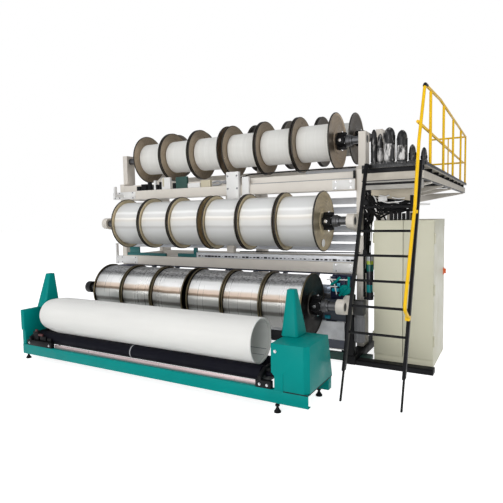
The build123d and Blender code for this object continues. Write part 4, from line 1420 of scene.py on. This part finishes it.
@dataclass
class BeamRow(SubAssembly):
    """Six warp beams on one shaft, with the yarn left on them and the shaft's drivers."""

    title: str = "beam row"
    name: str = "top"
    body: Body = Body.TOP
    flange: Colour = (0.3, 0.25, 0.2)
    # Rim colour painted on the flanges: darker for painted shade, paler for a painted glint.
    rim: Colour = (0.05, 0.045, 0.04)
    shine: float = 0.6
    yarn: WoundYarn | None = None
    window: tuple[float, float] | None = None
    gap: float = 0.012
    rim_r: float = 0.381
    flange_t: float = 0.020
    driver_reach: float = 0.112
    driver_drum: float = 0.090
    driver_len: float = 0.112
    lug: float = 0.086
    sleeve_r: float = 0.076
    sleeve_len: float = 0.084
    barrel_r: float = 0.109
    shaft_r: float = 0.05
    bolt_circle_r: float = 0.082
    flange_sides: int = 80
    yarn_sides: int = 96
    shaft_sides: int = 48

    def build(self) -> None:
        """Build the beams, yarn and shaft."""
        low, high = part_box(f"{self.name}_spools")
        self.centre, _ = round_box(low, high)
        self.end_x = high.x
        shaft_low, shaft_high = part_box(f"{self.name}_shaft")
        self.shaft_x = (shaft_low.x, shaft_high.x)
        yarn_low, yarn_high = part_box(f"{self.name}_yarn")
        _, self.yarn_r = round_box(yarn_low, yarn_high)
        self.half = BEAM_WIDTH / 2
        first = CENTRE_GAP / 2 + self.half
        self.beam_xs = [side * (first + step * (BEAM_WIDTH + self.gap))
                        for side in (-1, 1) for step in range(3)]
        metal = Anodised(f"{self.name}_flange_metal", self.flange, self.rim, self.centre,
                         metallic=self.shine)
        self.build_flanges(metal)
        self.build_yarn()
        self.build_shaft()

    def flange_outline(self, side: int) -> Outline:
        """The outline of one flange with its hub.

        Args:
            side: -1 for the left flange and 1 for the right one.

        Returns:
            Points of (x, radius) from the beam's middle.
        """
        rim, thick = self.rim_r, self.flange_t
        face = [(0.0, 0.0505), (0.0, 0.146), (0.002, 0.150), (0.009, 0.162), (0.010, 0.170),
                (0.010, rim - 0.030), (0.008, rim - 0.022), (0.001, rim - 0.014),
                (0.0, rim - 0.010), (0.001, rim - 0.004), (0.005, rim), (thick - 0.005, rim),
                (thick - 0.001, rim - 0.003), (thick, rim - 0.008), (thick - 0.001, rim - 0.014),
                (thick - 0.004, rim - 0.022), (thick - 0.004, 0.18), (thick, 0.112),
                (thick + 0.02, self.barrel_r), (thick + 0.02, 0.0505)]
        return [(side * (self.half - depth), radius) for depth, radius in face]

    def build_flanges(self, metal: Anodised) -> None:
        """Turn the flanges and barrels.

        Args:
            metal: Their finish.
        """
        outlines = []
        for x in self.beam_xs:
            for side in (-1, 1):
                outlines.append([(x + dx, r) for dx, r in self.flange_outline(side)])
            inner = self.half - self.flange_t - 0.02
            outlines.append([(x - inner, self.barrel_r), (x + inner, self.barrel_r),
                             (x + inner, 0.08), (x - inner, 0.08)])
        spools = turned(f"{self.name}_beams", outlines, self.centre, metal, self.flange_sides)
        self.fit(spools, self.body, f"{self.name}_spools")

    def build_yarn(self) -> None:
        """Wind the yarn, with rounded shoulders at the flanges."""
        outlines = []
        reach = self.half - self.flange_t - 0.0003
        top = self.yarn_r
        shoulder = ((reach, 0.1103), (reach, top - 0.010), (reach - 0.002, top - 0.003),
                    (reach - 0.010, top))
        for x in self.beam_xs:
            outlines.append([(x - dx, r) for dx, r in shoulder] + [(x, top)]
                            + [(x + dx, r) for dx, r in reversed(shoulder)])
        finish = replace(self.yarn, name=f"{self.name}_yarn_finish", centre=self.centre,
                         radius=self.yarn_r)
        wound = turned(f"{self.name}_wound_yarn", outlines, self.centre, finish, self.yarn_sides)
        self.fit(wound, self.body, f"{self.name}_yarn")

    def build_shaft(self) -> None:
        """Turn the shaft and sleeves, and cut the drivers with their lugs."""
        driver_x = self.end_x + 0.0003
        sleeve_x = driver_x + self.driver_len
        start, end = self.shaft_x
        outlines = [[(start, 0.0), (start, 0.046), (start + 0.004, self.shaft_r),
                     (end - 0.004, self.shaft_r), (end, 0.046), (end, 0.0)]]
        for side in (-1, 1):
            outlines.append([(side * x, r) for x, r in (
                (sleeve_x, 0.045), (sleeve_x, 0.07), (sleeve_x + 0.006, self.sleeve_r),
                (sleeve_x + self.sleeve_len - 0.03, self.sleeve_r),
                (sleeve_x + self.sleeve_len - 0.024, 0.066),
                (sleeve_x + self.sleeve_len, 0.064), (sleeve_x + self.sleeve_len, 0.045))])
        shaft = turned(f"{self.name}_axle", outlines, self.centre, STEEL, self.shaft_sides)
        self.fit(shaft, self.body, f"{self.name}_shaft")
        mesh = bmesh.new()
        for side in (-1, 1):
            x0 = driver_x if side > 0 else -sleeve_x
            for wide, tall in ((self.driver_reach, self.lug / 2), (self.lug / 2, self.driver_reach)):
                y, z = self.centre[1], self.centre[2]
                slab(mesh, (x0, y - wide, z - tall), (x0 + self.driver_len, y + wide, z + tall),
                     0.008)
        drivers = made(f"{self.name}_driver_lugs", mesh, BLACK)
        self.fit(drivers, self.body, slot="dark_steel")
        near, far = driver_x + 0.004, sleeve_x - 0.004
        drums = [[(side * x, r) for x, r in ((near, self.shaft_r), (near, self.driver_drum),
                                             (far, self.driver_drum), (far, self.shaft_r))]
                 for side in (-1, 1)]
        self.fit(turned(f"{self.name}_driver_drums", drums, self.centre, BLACK, self.shaft_sides),
                 self.body, slot="dark_steel")
        spots = []
        for side in (-1, 1):
            x = side * (driver_x + self.driver_len / 2)
            for dy, dz in ((-1, 0), (0, 1), (0, -1), (1, 0)):
                reach = self.driver_reach + 0.0005
                place = (x, self.centre[1] + dy * reach, self.centre[2] + dz * reach)
                spots.append((place, (0.0, dy, dz), 1.2))
            face = side * (sleeve_x - 0.0035)
            for step in range(6):
                angle = math.pi * (step / 3 + 1 / 6)
                spots.append(((face, self.centre[1] + self.bolt_circle_r * math.cos(angle),
                               self.centre[2] + self.bolt_circle_r * math.sin(angle)),
                              (side, 0.0, 0.0), 0.5))
        self.bolt(f"{self.name}_driver_bolts", self.body, spots)
        if self.window:
            self.build_window(*self.window)

    def build_window(self, y: float, z: float) -> None:
        """Lay a thin white oval on the last flange, for the yarn seen through its window.

        Args:
            y: Depth of its middle.
            z: Height of its middle.
        """
        mesh = bmesh.new()
        outline = [(self.end_x - 0.002, y + 0.055 * math.cos(step * math.pi / 16),
                    z + 0.050 * math.sin(step * math.pi / 16)) for step in range(32)]
        prism(mesh, outline, Vector((0.0028, 0.0, 0.0)), 0.0008)
        self.fit(made(f"{self.name}_flange_window", mesh, WINDOW), self.body, slot="yarn_gloss")


@dataclass
class KnittingHead(SubAssembly):
    """The bed, the needle head with its guide bars, and the yarn plates behind."""

    title: str = "knitting head"

    def build(self) -> None:
        """Dress the bed and head."""
        self.ease_all(BED_BLUE, bed_casting=0.004, bed_feet=0.005)
        self.ease_all(KICK, kick_panel=0.003)
        self.ease_all(STEEL, needle_head=0.003)
        self.ease_all(BLUED, guide_bars=0.003)
        self.ease_all(BED_BLUE, guide_bar_hangers=0.004)
        self.ease_all(NAVY, head_end_housings=0.008)
        self.ease_all(YARN_PLATE, yarn_plates=0.001)
        self.rank("head_needles", Body.MACHINE, BRIGHT, "shaft_steel", Count=564,
                  Start=(-1.69, -0.8625, 0.800), Step=(0.006, 0.0, 0.0), Size=(0.0014, 0.004, 0.052),
                  Least_share=1.0)
        self.build_drive_end()

    def build_drive_end(self) -> None:
        """Fit the levers, blocks and covers that show at the right end of the head."""
        front = -0.862
        navy = [((1.700, -0.895, 0.985), (1.770, front, 1.055)),
                ((1.850, -0.900, 0.835), (1.900, front, 1.045)),
                ((1.905, -0.885, 0.900), (1.950, front, 0.960)),
                ((1.66, -0.955, 0.470), (1.80, -0.902, 0.492))]
        self.blocks("head_navy_blocks", navy, NAVY, "bed_grey", 0.005)
        cyan = [((1.725, -0.905, 0.865), (1.815, front, 0.905)),
                ((1.640, -0.935, 0.515), (1.710, -0.902, 0.555)),
                ((1.790, -0.900, 0.930), (1.835, front, 0.975))]
        self.blocks("head_cyan_blocks", cyan, CYAN, "teal_enamel", 0.006)
        cover = [(0.915, 0.0), (0.915, 0.030), (0.912, 0.062), (0.900, 0.072), (0.866, 0.072),
                 (0.866, 0.0)]
        mesh = bmesh.new()
        lathe(mesh, [cover], (0.0, 0.0, 0.0), 40, Axis.Z)
        mesh.transform(Matrix.Translation((1.893, 0.0, 0.885)) @ Matrix.Rotation(math.pi / 2, 4, "X"))
        outward(mesh)
        self.fit(made("head_round_cover", mesh, TEAL), Body.MACHINE, slot="teal_enamel")
        levers = [[(1.83, -0.915, 0.82), (1.90, -0.915, 0.90), (1.95, -0.910, 0.94), (1.95, -0.910, 1.06)],
                  [(1.72, -0.912, 0.95), (1.78, -0.912, 0.99), (1.84, -0.905, 1.05)]]
        self.pipes("head_teal_levers", levers, 0.016, TEAL, "teal_enamel", 0.04)
        rods = [[(1.66, -0.90, 1.015), (1.95, -0.90, 1.02)],
                [(1.70, -0.908, 0.925), (1.80, -0.908, 0.93)],
                [(1.70, -0.90, 1.045), (1.76, -0.90, 0.96), (1.79, -0.90, 0.83)]]
        self.pipes("head_pale_rods", rods, 0.008, PALE_PLATE, "shaft_steel", 0.02)
        feet = [((1.60, -0.955, 0.002), (1.950, -0.905, 0.104)),
                ((2.078, -0.90, 0.002), (2.20, -0.70, 0.055))]
        self.blocks("head_foot_plates", feet, GREEN_PLATE, "dark_steel")
        ledge = [((1.50, -0.9625, 0.1385), (1.905, -0.945, 0.1495))]
        self.blocks("kick_panel_ledge", ledge, PALE_PLATE, "panel_grey", 0.002)


@dataclass
class BatchingUnit(SubAssembly):
    """The free-standing batching unit with its cloth roll."""

    title: str = "batching unit"
    roll_wall: float = 0.014
    core_wall: float = 0.006
    roll_sides: int = 128
    core_sides: int = 96
    loose_end: tuple[tuple[float, float], ...] = ((0.0, 0.048), (0.012, 0.042), (0.05, 0.034),
                                                (0.10, 0.024), (0.16, 0.014), (0.23, 0.005),
                                                (0.30, 0.0))

    def build(self) -> None:
        """Dress the unit and wind its roll."""
        self.ease_all(TEAL, batcher_front_rail=0.004, batcher_rear_beam=0.004, batcher_end_frame=0.004,
                      batcher_drive_housing=0.005, batcher_towers=0.008)
        self.ease_all(BLACK, roller_carriers=0.004)
        self.ease_all(PINK_STRIP, guide_strip=0.002)
        self.build_roll()
        self.build_rollers()
        self.build_feet()
        self.build_fittings()

    def build_feet(self) -> None:
        """Turn the flared levelling feet."""
        mesh = bmesh.new()
        for low, high in islands("batcher_feet"):
            middle = ((low.x + high.x) / 2, (low.y + high.y) / 2, 0.0)
            shape = [[(0.0, 0.0), (0.0, 0.034), (0.012, 0.034), (0.020, 0.027), (0.040, 0.015),
                      (0.052, 0.012), (0.060, 0.012), (0.062, 0.022), (0.076, 0.022), (0.078, 0.012),
                      (high.z, 0.012), (high.z, 0.0)]]
            lathe(mesh, shape, middle, 32, Axis.Z)
        outward(mesh)
        self.fit(made("levelling_feet", mesh, BLACK), Body.MACHINE, "batcher_feet")

    def build_fittings(self) -> None:
        """Fit the bolts, seam strips, guide block edge and the parts at the left end."""
        front = Axis.Y.vector() * -1
        spots = [((1.831, -2.7425, 0.588), front, 0.9)]
        spots += [((x, -2.7425, 0.252), front, 0.8) for x in (1.66, 1.74, -1.36, -1.74)]
        spots += [((-1.9105, y, z), Vector((-1.0, 0.0, 0.0)), 0.9)
                  for y, z in ((-2.62, 0.20), (-2.2, 0.20), (-2.62, 0.56), (-2.2, 0.56))]
        self.bolt("batcher_bolts", Body.MACHINE, spots)
        seam = [((1.910, -2.7428, 0.213), (2.156, -2.740, 0.224)),
                ((2.150, -2.72, 0.213), (2.1588, -2.12, 0.223))]
        self.blocks("housing_seam_strips", seam, BLACK, "dark_steel", 0.001)
        edge = [((1.638, -2.4415, 0.7102), (1.756, -2.361, 0.7145))]
        self.blocks("guide_block_edge", edge, GREY, "shaft_steel", 0.001)
        left = [((-1.70, -2.712, 0.2895), (-1.60, -2.690, 0.40)),
                ((-1.57, -2.712, 0.2895), (-1.46, -2.692, 0.345)),
                ((-1.43, -2.712, 0.2895), (-1.36, -2.692, 0.330))]
        self.blocks("left_clamp_parts", left, BLACK, "dark_steel", 0.006)
        red = [((-1.60, -2.714, 0.346), (-1.52, -2.692, 0.375)),
               ((-1.655, -2.716, 0.402), (-1.62, -2.694, 0.43))]
        self.blocks("left_clamp_red_parts", red, RED, "dark_steel", 0.005)

    def build_roll(self) -> None:
        """Wind the cloth on its core."""
        low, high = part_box("cloth_roll")
        centre, radius = round_box(low, high)
        inner = radius - self.roll_wall
        loose = [(low.x + reach, radius - drop) for reach, drop in self.loose_end]
        lining = [(x, min(inner, r - self.roll_wall)) for x, r in reversed(loose)]
        shell = [loose + [(high.x - 0.006, radius), (high.x, radius - 0.005), (high.x, inner)] + lining]
        roll = turned("cloth_wound", shell, centre, CLOTH, self.roll_sides)
        self.fit(roll, Body.CLOTH, "cloth_roll")
        hollow = inner - self.core_wall
        start, end = low.x + 0.45, high.x - 0.03
        core = [[(start, inner - 0.001), (end, inner - 0.001), (end, hollow), (start, hollow)]]
        tube = turned("cloth_core", core, centre, CORE_PAINTED_LIGHT, self.core_sides)
        self.fit(tube, Body.CLOTH, slot="cloth_white")
        seams = []
        for angle in (-38, -58):
            y = centre[1] + hollow * math.cos(math.radians(angle))
            z = centre[2] + hollow * math.sin(math.radians(angle))
            seams.append([(low.x + 0.5, y, z), (high.x - 0.035, y, z)])
        self.pipes("cloth_core_seams", seams, 0.003, GREY, "cloth_white", sides=8, body=Body.CLOTH)

    def build_rollers(self) -> None:
        """Turn the two surface rollers."""
        for name, body in (("front", Body.FRONT_ROLLER), ("rear", Body.REAR_ROLLER)):
            low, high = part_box(f"{name}_roller")
            centre, radius = round_box(low, high)
            start, end = low.x + 0.041, 1.635
            shape = [[(low.x, 0.0), (low.x, 0.025), (start, 0.025), (start, radius - 0.005),
                      (start + 0.005, radius), (end - 0.005, radius), (end, radius - 0.005),
                      (end, 0.025), (high.x, 0.025), (high.x, 0.0)]]
            roller = turned(f"{name}_surface_roller", shape, centre, RUBBER, 64)
            self.fit(roller, body, f"{name}_roller")
            if name == "front":
                ring = [[(-0.048, radius - 0.002), (-0.048, radius + 0.0012),
                         (-0.034, radius + 0.0012), (-0.034, radius - 0.002)]]
                self.fit(turned("roller_joint_ring", ring, centre, GREY, 64), body, slot="shaft_steel")


@dataclass
class ServiceDeck(SubAssembly):
    """The deck at the drive side, with its guard rail, ladder and handrail."""

    title: str = "service deck"

    def build(self) -> None:
        """Dress the deck and ladder."""
        self.ease_all(TREAD, deck_plate=0.002)
        self.ease_all(CHANNEL_PAINTED_SHADE, deck_channels=0.003)
        self.ease_all(DECK_BEAM, deck_front_beam=0.003)
        self.ease_all(BLACK, deck_joists=0.004)
        self.ease_all(CREAM, deck_cantilevers=0.004, deck_columns=0.004)
        self.ease_all(YELLOW, guard_rails=0.001, ladder_handrail=0.0)
        self.ease_all(BLACK, ladder_stringers=0.003, ladder_rungs=0.0)
        self.build_cables()
        self.build_trim()

    def build_cables(self) -> None:
        """Hang the cable bundle under the deck's front.

        The pale tubes are painted glints, pale streaks of light on the cables. They wrap no cable.
        """
        box_top, front = 1.7575, -0.79
        runs = []
        for step in range(13):
            y = -0.66 - 0.020 * (step % 6)
            z = 0.021 * step
            dip = 0.035 * math.sin(2.4 * step)
            runs.append([(2.058, -0.44 - 0.02 * (step % 6), 2.15 - z), (2.16, y, 2.13 - z),
                         (2.26, y - 0.01, 2.04 - z + dip), (2.36, y, 2.01 - 0.7 * z),
                         (2.52, y - 0.01, 1.99 - 0.5 * z - dip), (2.66, y, 2.03 - 0.6 * z)])
        self.pipes("deck_cable_bundle", runs, 0.011, BLACK, "dark_steel", 0.08)
        drops = [[(2.20, -0.70, 2.06), (2.22, -0.72, 1.95), (2.21, -0.70, 1.84), (2.27, -0.69, box_top)],
                 [(2.27, -0.68, 2.02), (2.25, -0.70, 1.92), (2.29, -0.71, box_top)],
                 [(2.16, -0.64, 2.06), (2.15, -0.62, 1.95), (2.058, -0.58, 1.82)],
                 [(2.18, -0.66, 2.12), (2.20, -0.69, 1.90), (2.15, -0.66, 1.74), (2.058, -0.59, 1.66)],
                 [(2.24, -0.69, 2.10), (2.19, -0.71, 1.98), (2.20, -0.69, 1.80), (2.058, -0.57, 1.70)],
                 [(2.30, -0.70, 1.98), (2.275, -0.72, 1.80), (2.270, -0.70, box_top)],
                 [(2.33, -0.71, 2.0), (2.31, -0.74, 1.86), (2.36, -0.72, box_top)]]
        self.pipes("deck_cable_drops", drops, 0.010, BLACK, "dark_steel", 0.06)
        wires = [[(2.185, -0.685, 1.80), (2.196, -0.780, 1.55), (2.190, front, 1.30), (2.199, front, 1.16),
                  (2.188, front, 1.02), (2.196, -0.780, 0.86), (2.229, -0.74, 0.80)]]
        self.pipes("cabinet_wire", wires, 0.005, BLACK, "dark_steel", 0.05, 8)
        pale = [[(2.19, -0.735, 2.09), (2.24, -0.74, 2.02), (2.25, -0.735, 1.97)],
                [(2.30, front, 2.06), (2.37, -0.795, 2.04), (2.42, front, 2.06)],
                [(2.33, front, 1.99), (2.40, front, 1.965), (2.47, front, 1.975), (2.53, front, 1.96)],
                [(2.21, -0.735, 1.93), (2.25, -0.74, 1.88), (2.24, -0.735, 1.82)],
                [(2.45, front, 2.03), (2.52, front, 2.01), (2.60, front, 2.02)],
                [(2.27, -0.74, 1.86), (2.31, -0.745, 1.82)]]
        # Painted glints: pale tubes laid over the cables.
        self.pipes("deck_painted_glints", pale, 0.008, PALE_PLATE, "panel_grey", 0.03)
        brackets = [((2.28, -0.775, 1.985), (2.385, -0.745, 2.045)),
                    ((2.64, -0.74, 2.00), (2.70, -0.70, 2.06)),
                    ((2.70, -0.72, 1.929), (2.862, -0.66, 1.952)),
                    ((2.66, -0.72, 1.7552), (2.74, -0.66, 1.93))]
        self.blocks("deck_pale_brackets", brackets, PALE_PLATE, "panel_grey", 0.005)
        dark = [((x, front, 1.757), (x + 0.032, -0.72, 1.86 - 0.02 * (step % 2)))
                for step, x in enumerate(2.42 + 0.048 * n for n in range(6))]
        dark += [((2.14, -0.66, 1.84), (2.20, -0.58, 1.98)), ((2.40, -0.735, 1.858), (2.70, -0.72, 1.880)),
                 ((2.655, -0.778, 1.868), (2.69, -0.642, 2.05))]
        self.blocks("deck_dark_glands", dark, BLACK, "dark_steel", 0.005)

    def build_trim(self) -> None:
        """Cap the handrail, bolt the guard posts' feet and fit the handrail's brackets."""
        rail_x = 2.859
        cap = [[(rail_x, -1.10, 3.205), (rail_x, -1.065, 3.232), (rail_x, -0.95, 3.239)]]
        self.pipes("handrail_cap", cap, 0.0195, BLACK, "dark_steel", 0.03)
        feet = [(rail_x, y) for y in (-0.67, 0.46, 1.58, 2.74, 3.65)] + [(2.195, 3.65), (2.545, 3.65)]
        spots = [((x + dx, y + dy, 2.4083), Axis.Z.vector(), 0.3) for x, y in feet
                 for dx in (-0.018, 0.018) for dy in (-0.018, 0.018)]
        self.bolt("deck_bolts", Body.MACHINE, spots)
        hooks = [((2.83, -1.93, 0.80), (2.876, -1.862, 0.845)),
                 ((2.845, -1.512, 1.83), (2.873, -1.47, 1.87))]
        self.blocks("handrail_brackets", hooks, YELLOW, "guard_yellow", 0.006)


@dataclass
class DriveGroup(SubAssembly):
    """Pattern drives on the deck and the drives beside the side frame."""

    title: str = "drives"

    def build(self) -> None:
        """Dress the drives."""
        self.build_pattern_drives()
        self.ease("drive_cover", 0.004, COVER_BEIGE)
        self.ease("letoff_motor", 0.004, LETOFF)
        self.ease("signal_column", 0.003, SIGNAL)
        fins = patterns.crown.grow("letoff_motor_fins", bpy.data.meshes.new("fins"), GREY, Count=22,
                                   Radius=0.060, Size=(0.010, 0.003, 0.29), Centre=(2.113, -1.0, 0.44))
        self.fit(fins, Body.MACHINE, slot="deck_grey")

    def build_pattern_drives(self) -> None:
        """Turn the domed drives on the deck, with their ribs and cabled sleeves."""
        domes, sleeves = bmesh.new(), bmesh.new()
        ribs = []
        for index, (low, high) in enumerate(islands("pattern_drives")):
            radius = (high.x - low.x) / 2 - 0.003
            foot, top = low.z, high.z
            middle = ((low.x + high.x) / 2, (low.y + high.y) / 2, 0.0)
            slab(domes, tuple(low), (high.x, high.y, foot + 0.06), 0.006)
            dome = [(top - 0.115, 1.0), (top - 0.075, 0.97), (top - 0.042, 0.82), (top - 0.018, 0.55),
                    (top - 0.005, 0.27), (top, 0.0)]
            body = [(foot + 0.058, 0.0), (foot + 0.058, 0.96), (foot + 0.07, 1.0)] + dome
            lathe(domes, [[(z, share * radius) for z, share in body]], middle, 40, Axis.Z)
            ribs.append((middle, radius, foot, top))
            if index in (1, 2, 3):
                rise = 0.56 * (top - foot)
                girth = [(foot + 0.065, 0.9), (foot + 0.075, 1.07), (foot + rise / 2, 1.12),
                         (foot + rise, 1.05), (foot + rise + 0.012, 0.9)]
                lathe(sleeves, [[(z, share * radius) for z, share in girth]], middle, 40, Axis.Z)
        outward(domes)
        outward(sleeves)
        self.fit(made("drive_domes", domes, DRIVE_PAINTED_GLINTS), Body.MACHINE, "pattern_drives")
        self.fit(made("drive_cabled_sleeves", sleeves, CABLED_PAINTED_GLINTS), Body.MACHINE, slot="panel_grey")
        for index, (middle, radius, foot, top) in enumerate(ribs):
            low_z, high_z = foot + 0.07, top - 0.10
            crown = patterns.crown.grow(f"drive_ribs_{index}", bpy.data.meshes.new("ribs"), DRIVE_PAINTED_GLINTS,
                                        Count=14, Radius=radius, Size=(0.010, 0.005, high_z - low_z),
                                        Centre=(middle[0], middle[1], (low_z + high_z) / 2))
            self.fit(crown, Body.MACHINE, slot="dark_steel")


@dataclass
class ControlCabinet(SubAssembly):
    """The control cabinet with its doors, switch and floor duct."""

    title: str = "cabinet"

    def build(self) -> None:
        """Dress the cabinet."""
        self.ease("cabinet", 0.009, CABINET)
        self.ease("cabinet_left_door", 0.010, CABINET, Body.LEFT_DOOR)
        self.ease("cabinet_right_door", 0.010, CABINET, Body.RIGHT_DOOR)
        self.ease("cabinet_switch", 0.003, SWITCH)
        self.ease("floor_duct", 0.003, BLACK)


@dataclass
class Studio:
    """Floor, lamps, world and the camera at the photograph's place."""

    place: Point = (3.7433, -6.5406, 1.8432)
    heading: float = 29.403
    pitch: float = 4.371
    roll: float = -1.099
    lens: float = 33.542
    floor_size: float = 120.0
    floor_glow: float = 0.80
    sky_strength: float = 0.50
    lamps: tuple[tuple[str, Point, Point, float, float], ...] = (
        ("key_lamp", (-3.5, -9.5, 8.5), (0.3, -0.8, 1.4), 7.0, 235),
        ("front_lamp", (1.5, -13.0, 1.6), (0.3, -0.8, 1.3), 8.0, 490),
        ("low_lamp", (0.8, -8.5, 0.5), (0.3, -0.5, 2.3), 5.0, 125),
        ("fill_lamp", (10.5, -4.0, 5.0), (1.0, 0.0, 1.4), 6.0, 190))

    def build(self) -> None:
        """Set the whole studio up."""
        self.build_camera()
        self.build_floor()
        self.build_world()
        for lamp in self.lamps:
            self.add_lamp(*lamp)
        bpy.context.scene.view_settings.view_transform = "Standard"

    def build_camera(self) -> None:
        """Put the camera where the photograph was taken."""
        a, e, r = (math.radians(v) for v in (self.heading, self.pitch, self.roll))
        ahead = Vector((-math.sin(a) * math.cos(e), math.cos(a) * math.cos(e), -math.sin(e)))
        level = Vector((math.cos(a), math.sin(a), 0.0))
        above = level.cross(ahead)
        right = level * math.cos(r) + above * math.sin(r)
        over = above * math.cos(r) - level * math.sin(r)
        turn = Matrix((right, over, -ahead)).transposed().to_4x4()
        data = bpy.data.cameras.new("photo_camera")
        data.sensor_width = 36.0
        data.lens = self.lens
        data.clip_end = 200.0
        camera = bpy.data.objects.new("photo_camera", data)
        camera.matrix_world = Matrix.Translation(self.place) @ turn
        bpy.context.scene.collection.objects.link(camera)
        bpy.context.scene.camera = camera

    def build_floor(self) -> None:
        """Lay the pale floor, which shows as white away from the shadow."""
        mesh = bmesh.new()
        bmesh.ops.create_grid(mesh, x_segments=1, y_segments=1, size=self.floor_size / 2)
        graph = Graph("studio_floor")
        rays = graph.node("ShaderNodeLightPath")
        seen = graph.calc("MAXIMUM", rays.outputs["Is Camera Ray"],
                                rays.outputs["Is Glossy Ray"])
        seen = graph.calc("MAXIMUM", seen, rays.outputs["Is Transmission Ray"])
        glow = graph.calc("MULTIPLY", seen, self.floor_glow)
        graph.done(Base_Color=(0.82, 0.82, 0.82), Roughness=0.9, Emission_Color=(1, 1, 1),
                         Emission_Strength=glow, Specular_IOR_Level=0.1)
        data = bpy.data.meshes.new("studio_floor")
        mesh.to_mesh(data)
        mesh.free()
        data.materials.append(graph.material)
        floor = bpy.data.objects.new("studio_floor", data)
        bpy.context.scene.collection.objects.link(floor)

    def build_world(self) -> None:
        """Light the scene evenly and show white behind it."""
        world = bpy.data.worlds.new("studio_world")
        bpy.context.scene.world = world
        world.use_nodes = True
        tree = world.node_tree
        tree.nodes.clear()
        output = tree.nodes.new("ShaderNodeOutputWorld")
        rays = tree.nodes.new("ShaderNodeLightPath")
        mix = tree.nodes.new("ShaderNodeMixShader")
        tree.links.new(mix.outputs[0], output.inputs["Surface"])
        for slot, colour, strength in ((1, (0.95, 0.97, 1.0, 1.0), self.sky_strength),
                                       (2, (1.0, 1.0, 1.0, 1.0), 1.0)):
            sky = tree.nodes.new("ShaderNodeBackground")
            sky.inputs["Color"].default_value = colour
            sky.inputs["Strength"].default_value = strength
            tree.links.new(sky.outputs[0], mix.inputs[slot])
        tree.links.new(rays.outputs["Is Camera Ray"], mix.inputs[0])

    def add_lamp(self, name: str, place: Point, target: Point, size: float, power: float) -> None:
        """Hang a large soft lamp.

        Args:
            name: The lamp's name.
            place: Where it hangs.
            target: What it faces.
            size: Its side.
            power: Its power in watts.
        """
        data = bpy.data.lights.new(name, "AREA")
        data.size = size
        data.energy = power
        lamp = bpy.data.objects.new(name, data)
        facing = (Vector(target) - Vector(place)).to_track_quat("-Z", "Y")
        lamp.matrix_world = Matrix.Translation(place) @ facing.to_matrix().to_4x4()
        bpy.context.scene.collection.objects.link(lamp)


# Painted reflections and highlights of the glossy and silver yarn, as colours by height on the roll.
GLOSS_PAINTED_REFLECTIONS = ((0.0, (0.50, 0.50, 0.48)), (0.22, (0.60, 0.60, 0.58)), (0.36, (0.64, 0.64, 0.63)),
               (0.42, (0.52, 0.51, 0.49)), (0.46, (0.70, 0.69, 0.67)), (0.52, (0.74, 0.73, 0.70)),
               (0.58, (0.78, 0.74, 0.68)), (0.62, (1.0, 0.97, 0.92)), (0.65, (0.76, 0.75, 0.72)),
               (0.70, (0.80, 0.79, 0.77)), (0.745, (1.0, 1.0, 0.98)), (0.79, (0.76, 0.76, 0.74)),
               (0.95, (0.72, 0.72, 0.71)), (1.0, (0.42, 0.42, 0.40)))
SILVER_PAINTED_REFLECTIONS = ((0.0, (0.14, 0.14, 0.14)), (0.20, (0.26, 0.26, 0.25)), (0.35, (0.30, 0.30, 0.29)),
                (0.38, (0.07, 0.07, 0.06)), (0.42, (0.12, 0.11, 0.10)), (0.45, (0.54, 0.54, 0.52)),
                (0.58, (0.64, 0.63, 0.60)), (0.605, (0.15, 0.10, 0.06)), (0.63, (0.24, 0.16, 0.10)),
                (0.65, (0.72, 0.55, 0.43)), (0.70, (0.82, 0.69, 0.58)), (0.73, (0.96, 0.95, 0.94)),
                (0.84, (0.94, 0.94, 0.93)), (0.87, (0.44, 0.44, 0.44)), (0.91, (0.20, 0.20, 0.21)),
                (0.95, (0.50, 0.50, 0.51)), (1.0, (0.34, 0.34, 0.35)))


def main() -> None:
    """Build the machine from the floor up, then the studio round it."""
    logging.basicConfig(level=logging.INFO, format="%(message)s")
    white = WoundYarn("matt_white_yarn", (0.82, 0.81, 0.77), (0.74, 0.73, 0.69))
    gloss = WoundYarn("glossy_white_yarn", (0.84, 0.84, 0.83), (0.76, 0.76, 0.75), 0.4, 0.0,
                      0.1, 0.2, painted_reflections=GLOSS_PAINTED_REFLECTIONS, share=1.0)
    silver = WoundYarn("silver_filament_yarn", (0.60, 0.59, 0.56), (0.42, 0.40, 0.36), 0.3, 0.55,
                       0.0, 0.2, painted_reflections=SILVER_PAINTED_REFLECTIONS, share=0.9, painted_crinkle_reflection=0.7)
    machine: list[SubAssembly] = [
        MachineFrame(),
        KnittingHead(),
        BeamRow("top row", name="top", body=Body.TOP, flange=(0.44, 0.355, 0.265), shine=0.85, yarn=white),
        BeamRow("middle row", name="middle", body=Body.MIDDLE, flange=(0.74, 0.63, 0.43), shine=0.75,
                yarn=gloss, window=(-0.998, 1.485)),
        # The lower row's paler rim is a painted glint.
        BeamRow("lower row", name="lower", body=Body.LOWER, flange=(0.06, 0.055, 0.05),
                rim=(0.14, 0.115, 0.07), shine=1.0, yarn=silver),
        BeamRow("rear row", name="rear", body=Body.REAR, flange=(0.13, 0.11, 0.09), shine=0.8,
                yarn=white),
        BatchingUnit(),
        ServiceDeck(),
        DriveGroup(),
        ControlCabinet(),
    ]
    for group in machine:
        group.build()
        group.report()
    Studio().build()


if __name__ == "__main__":
    main()
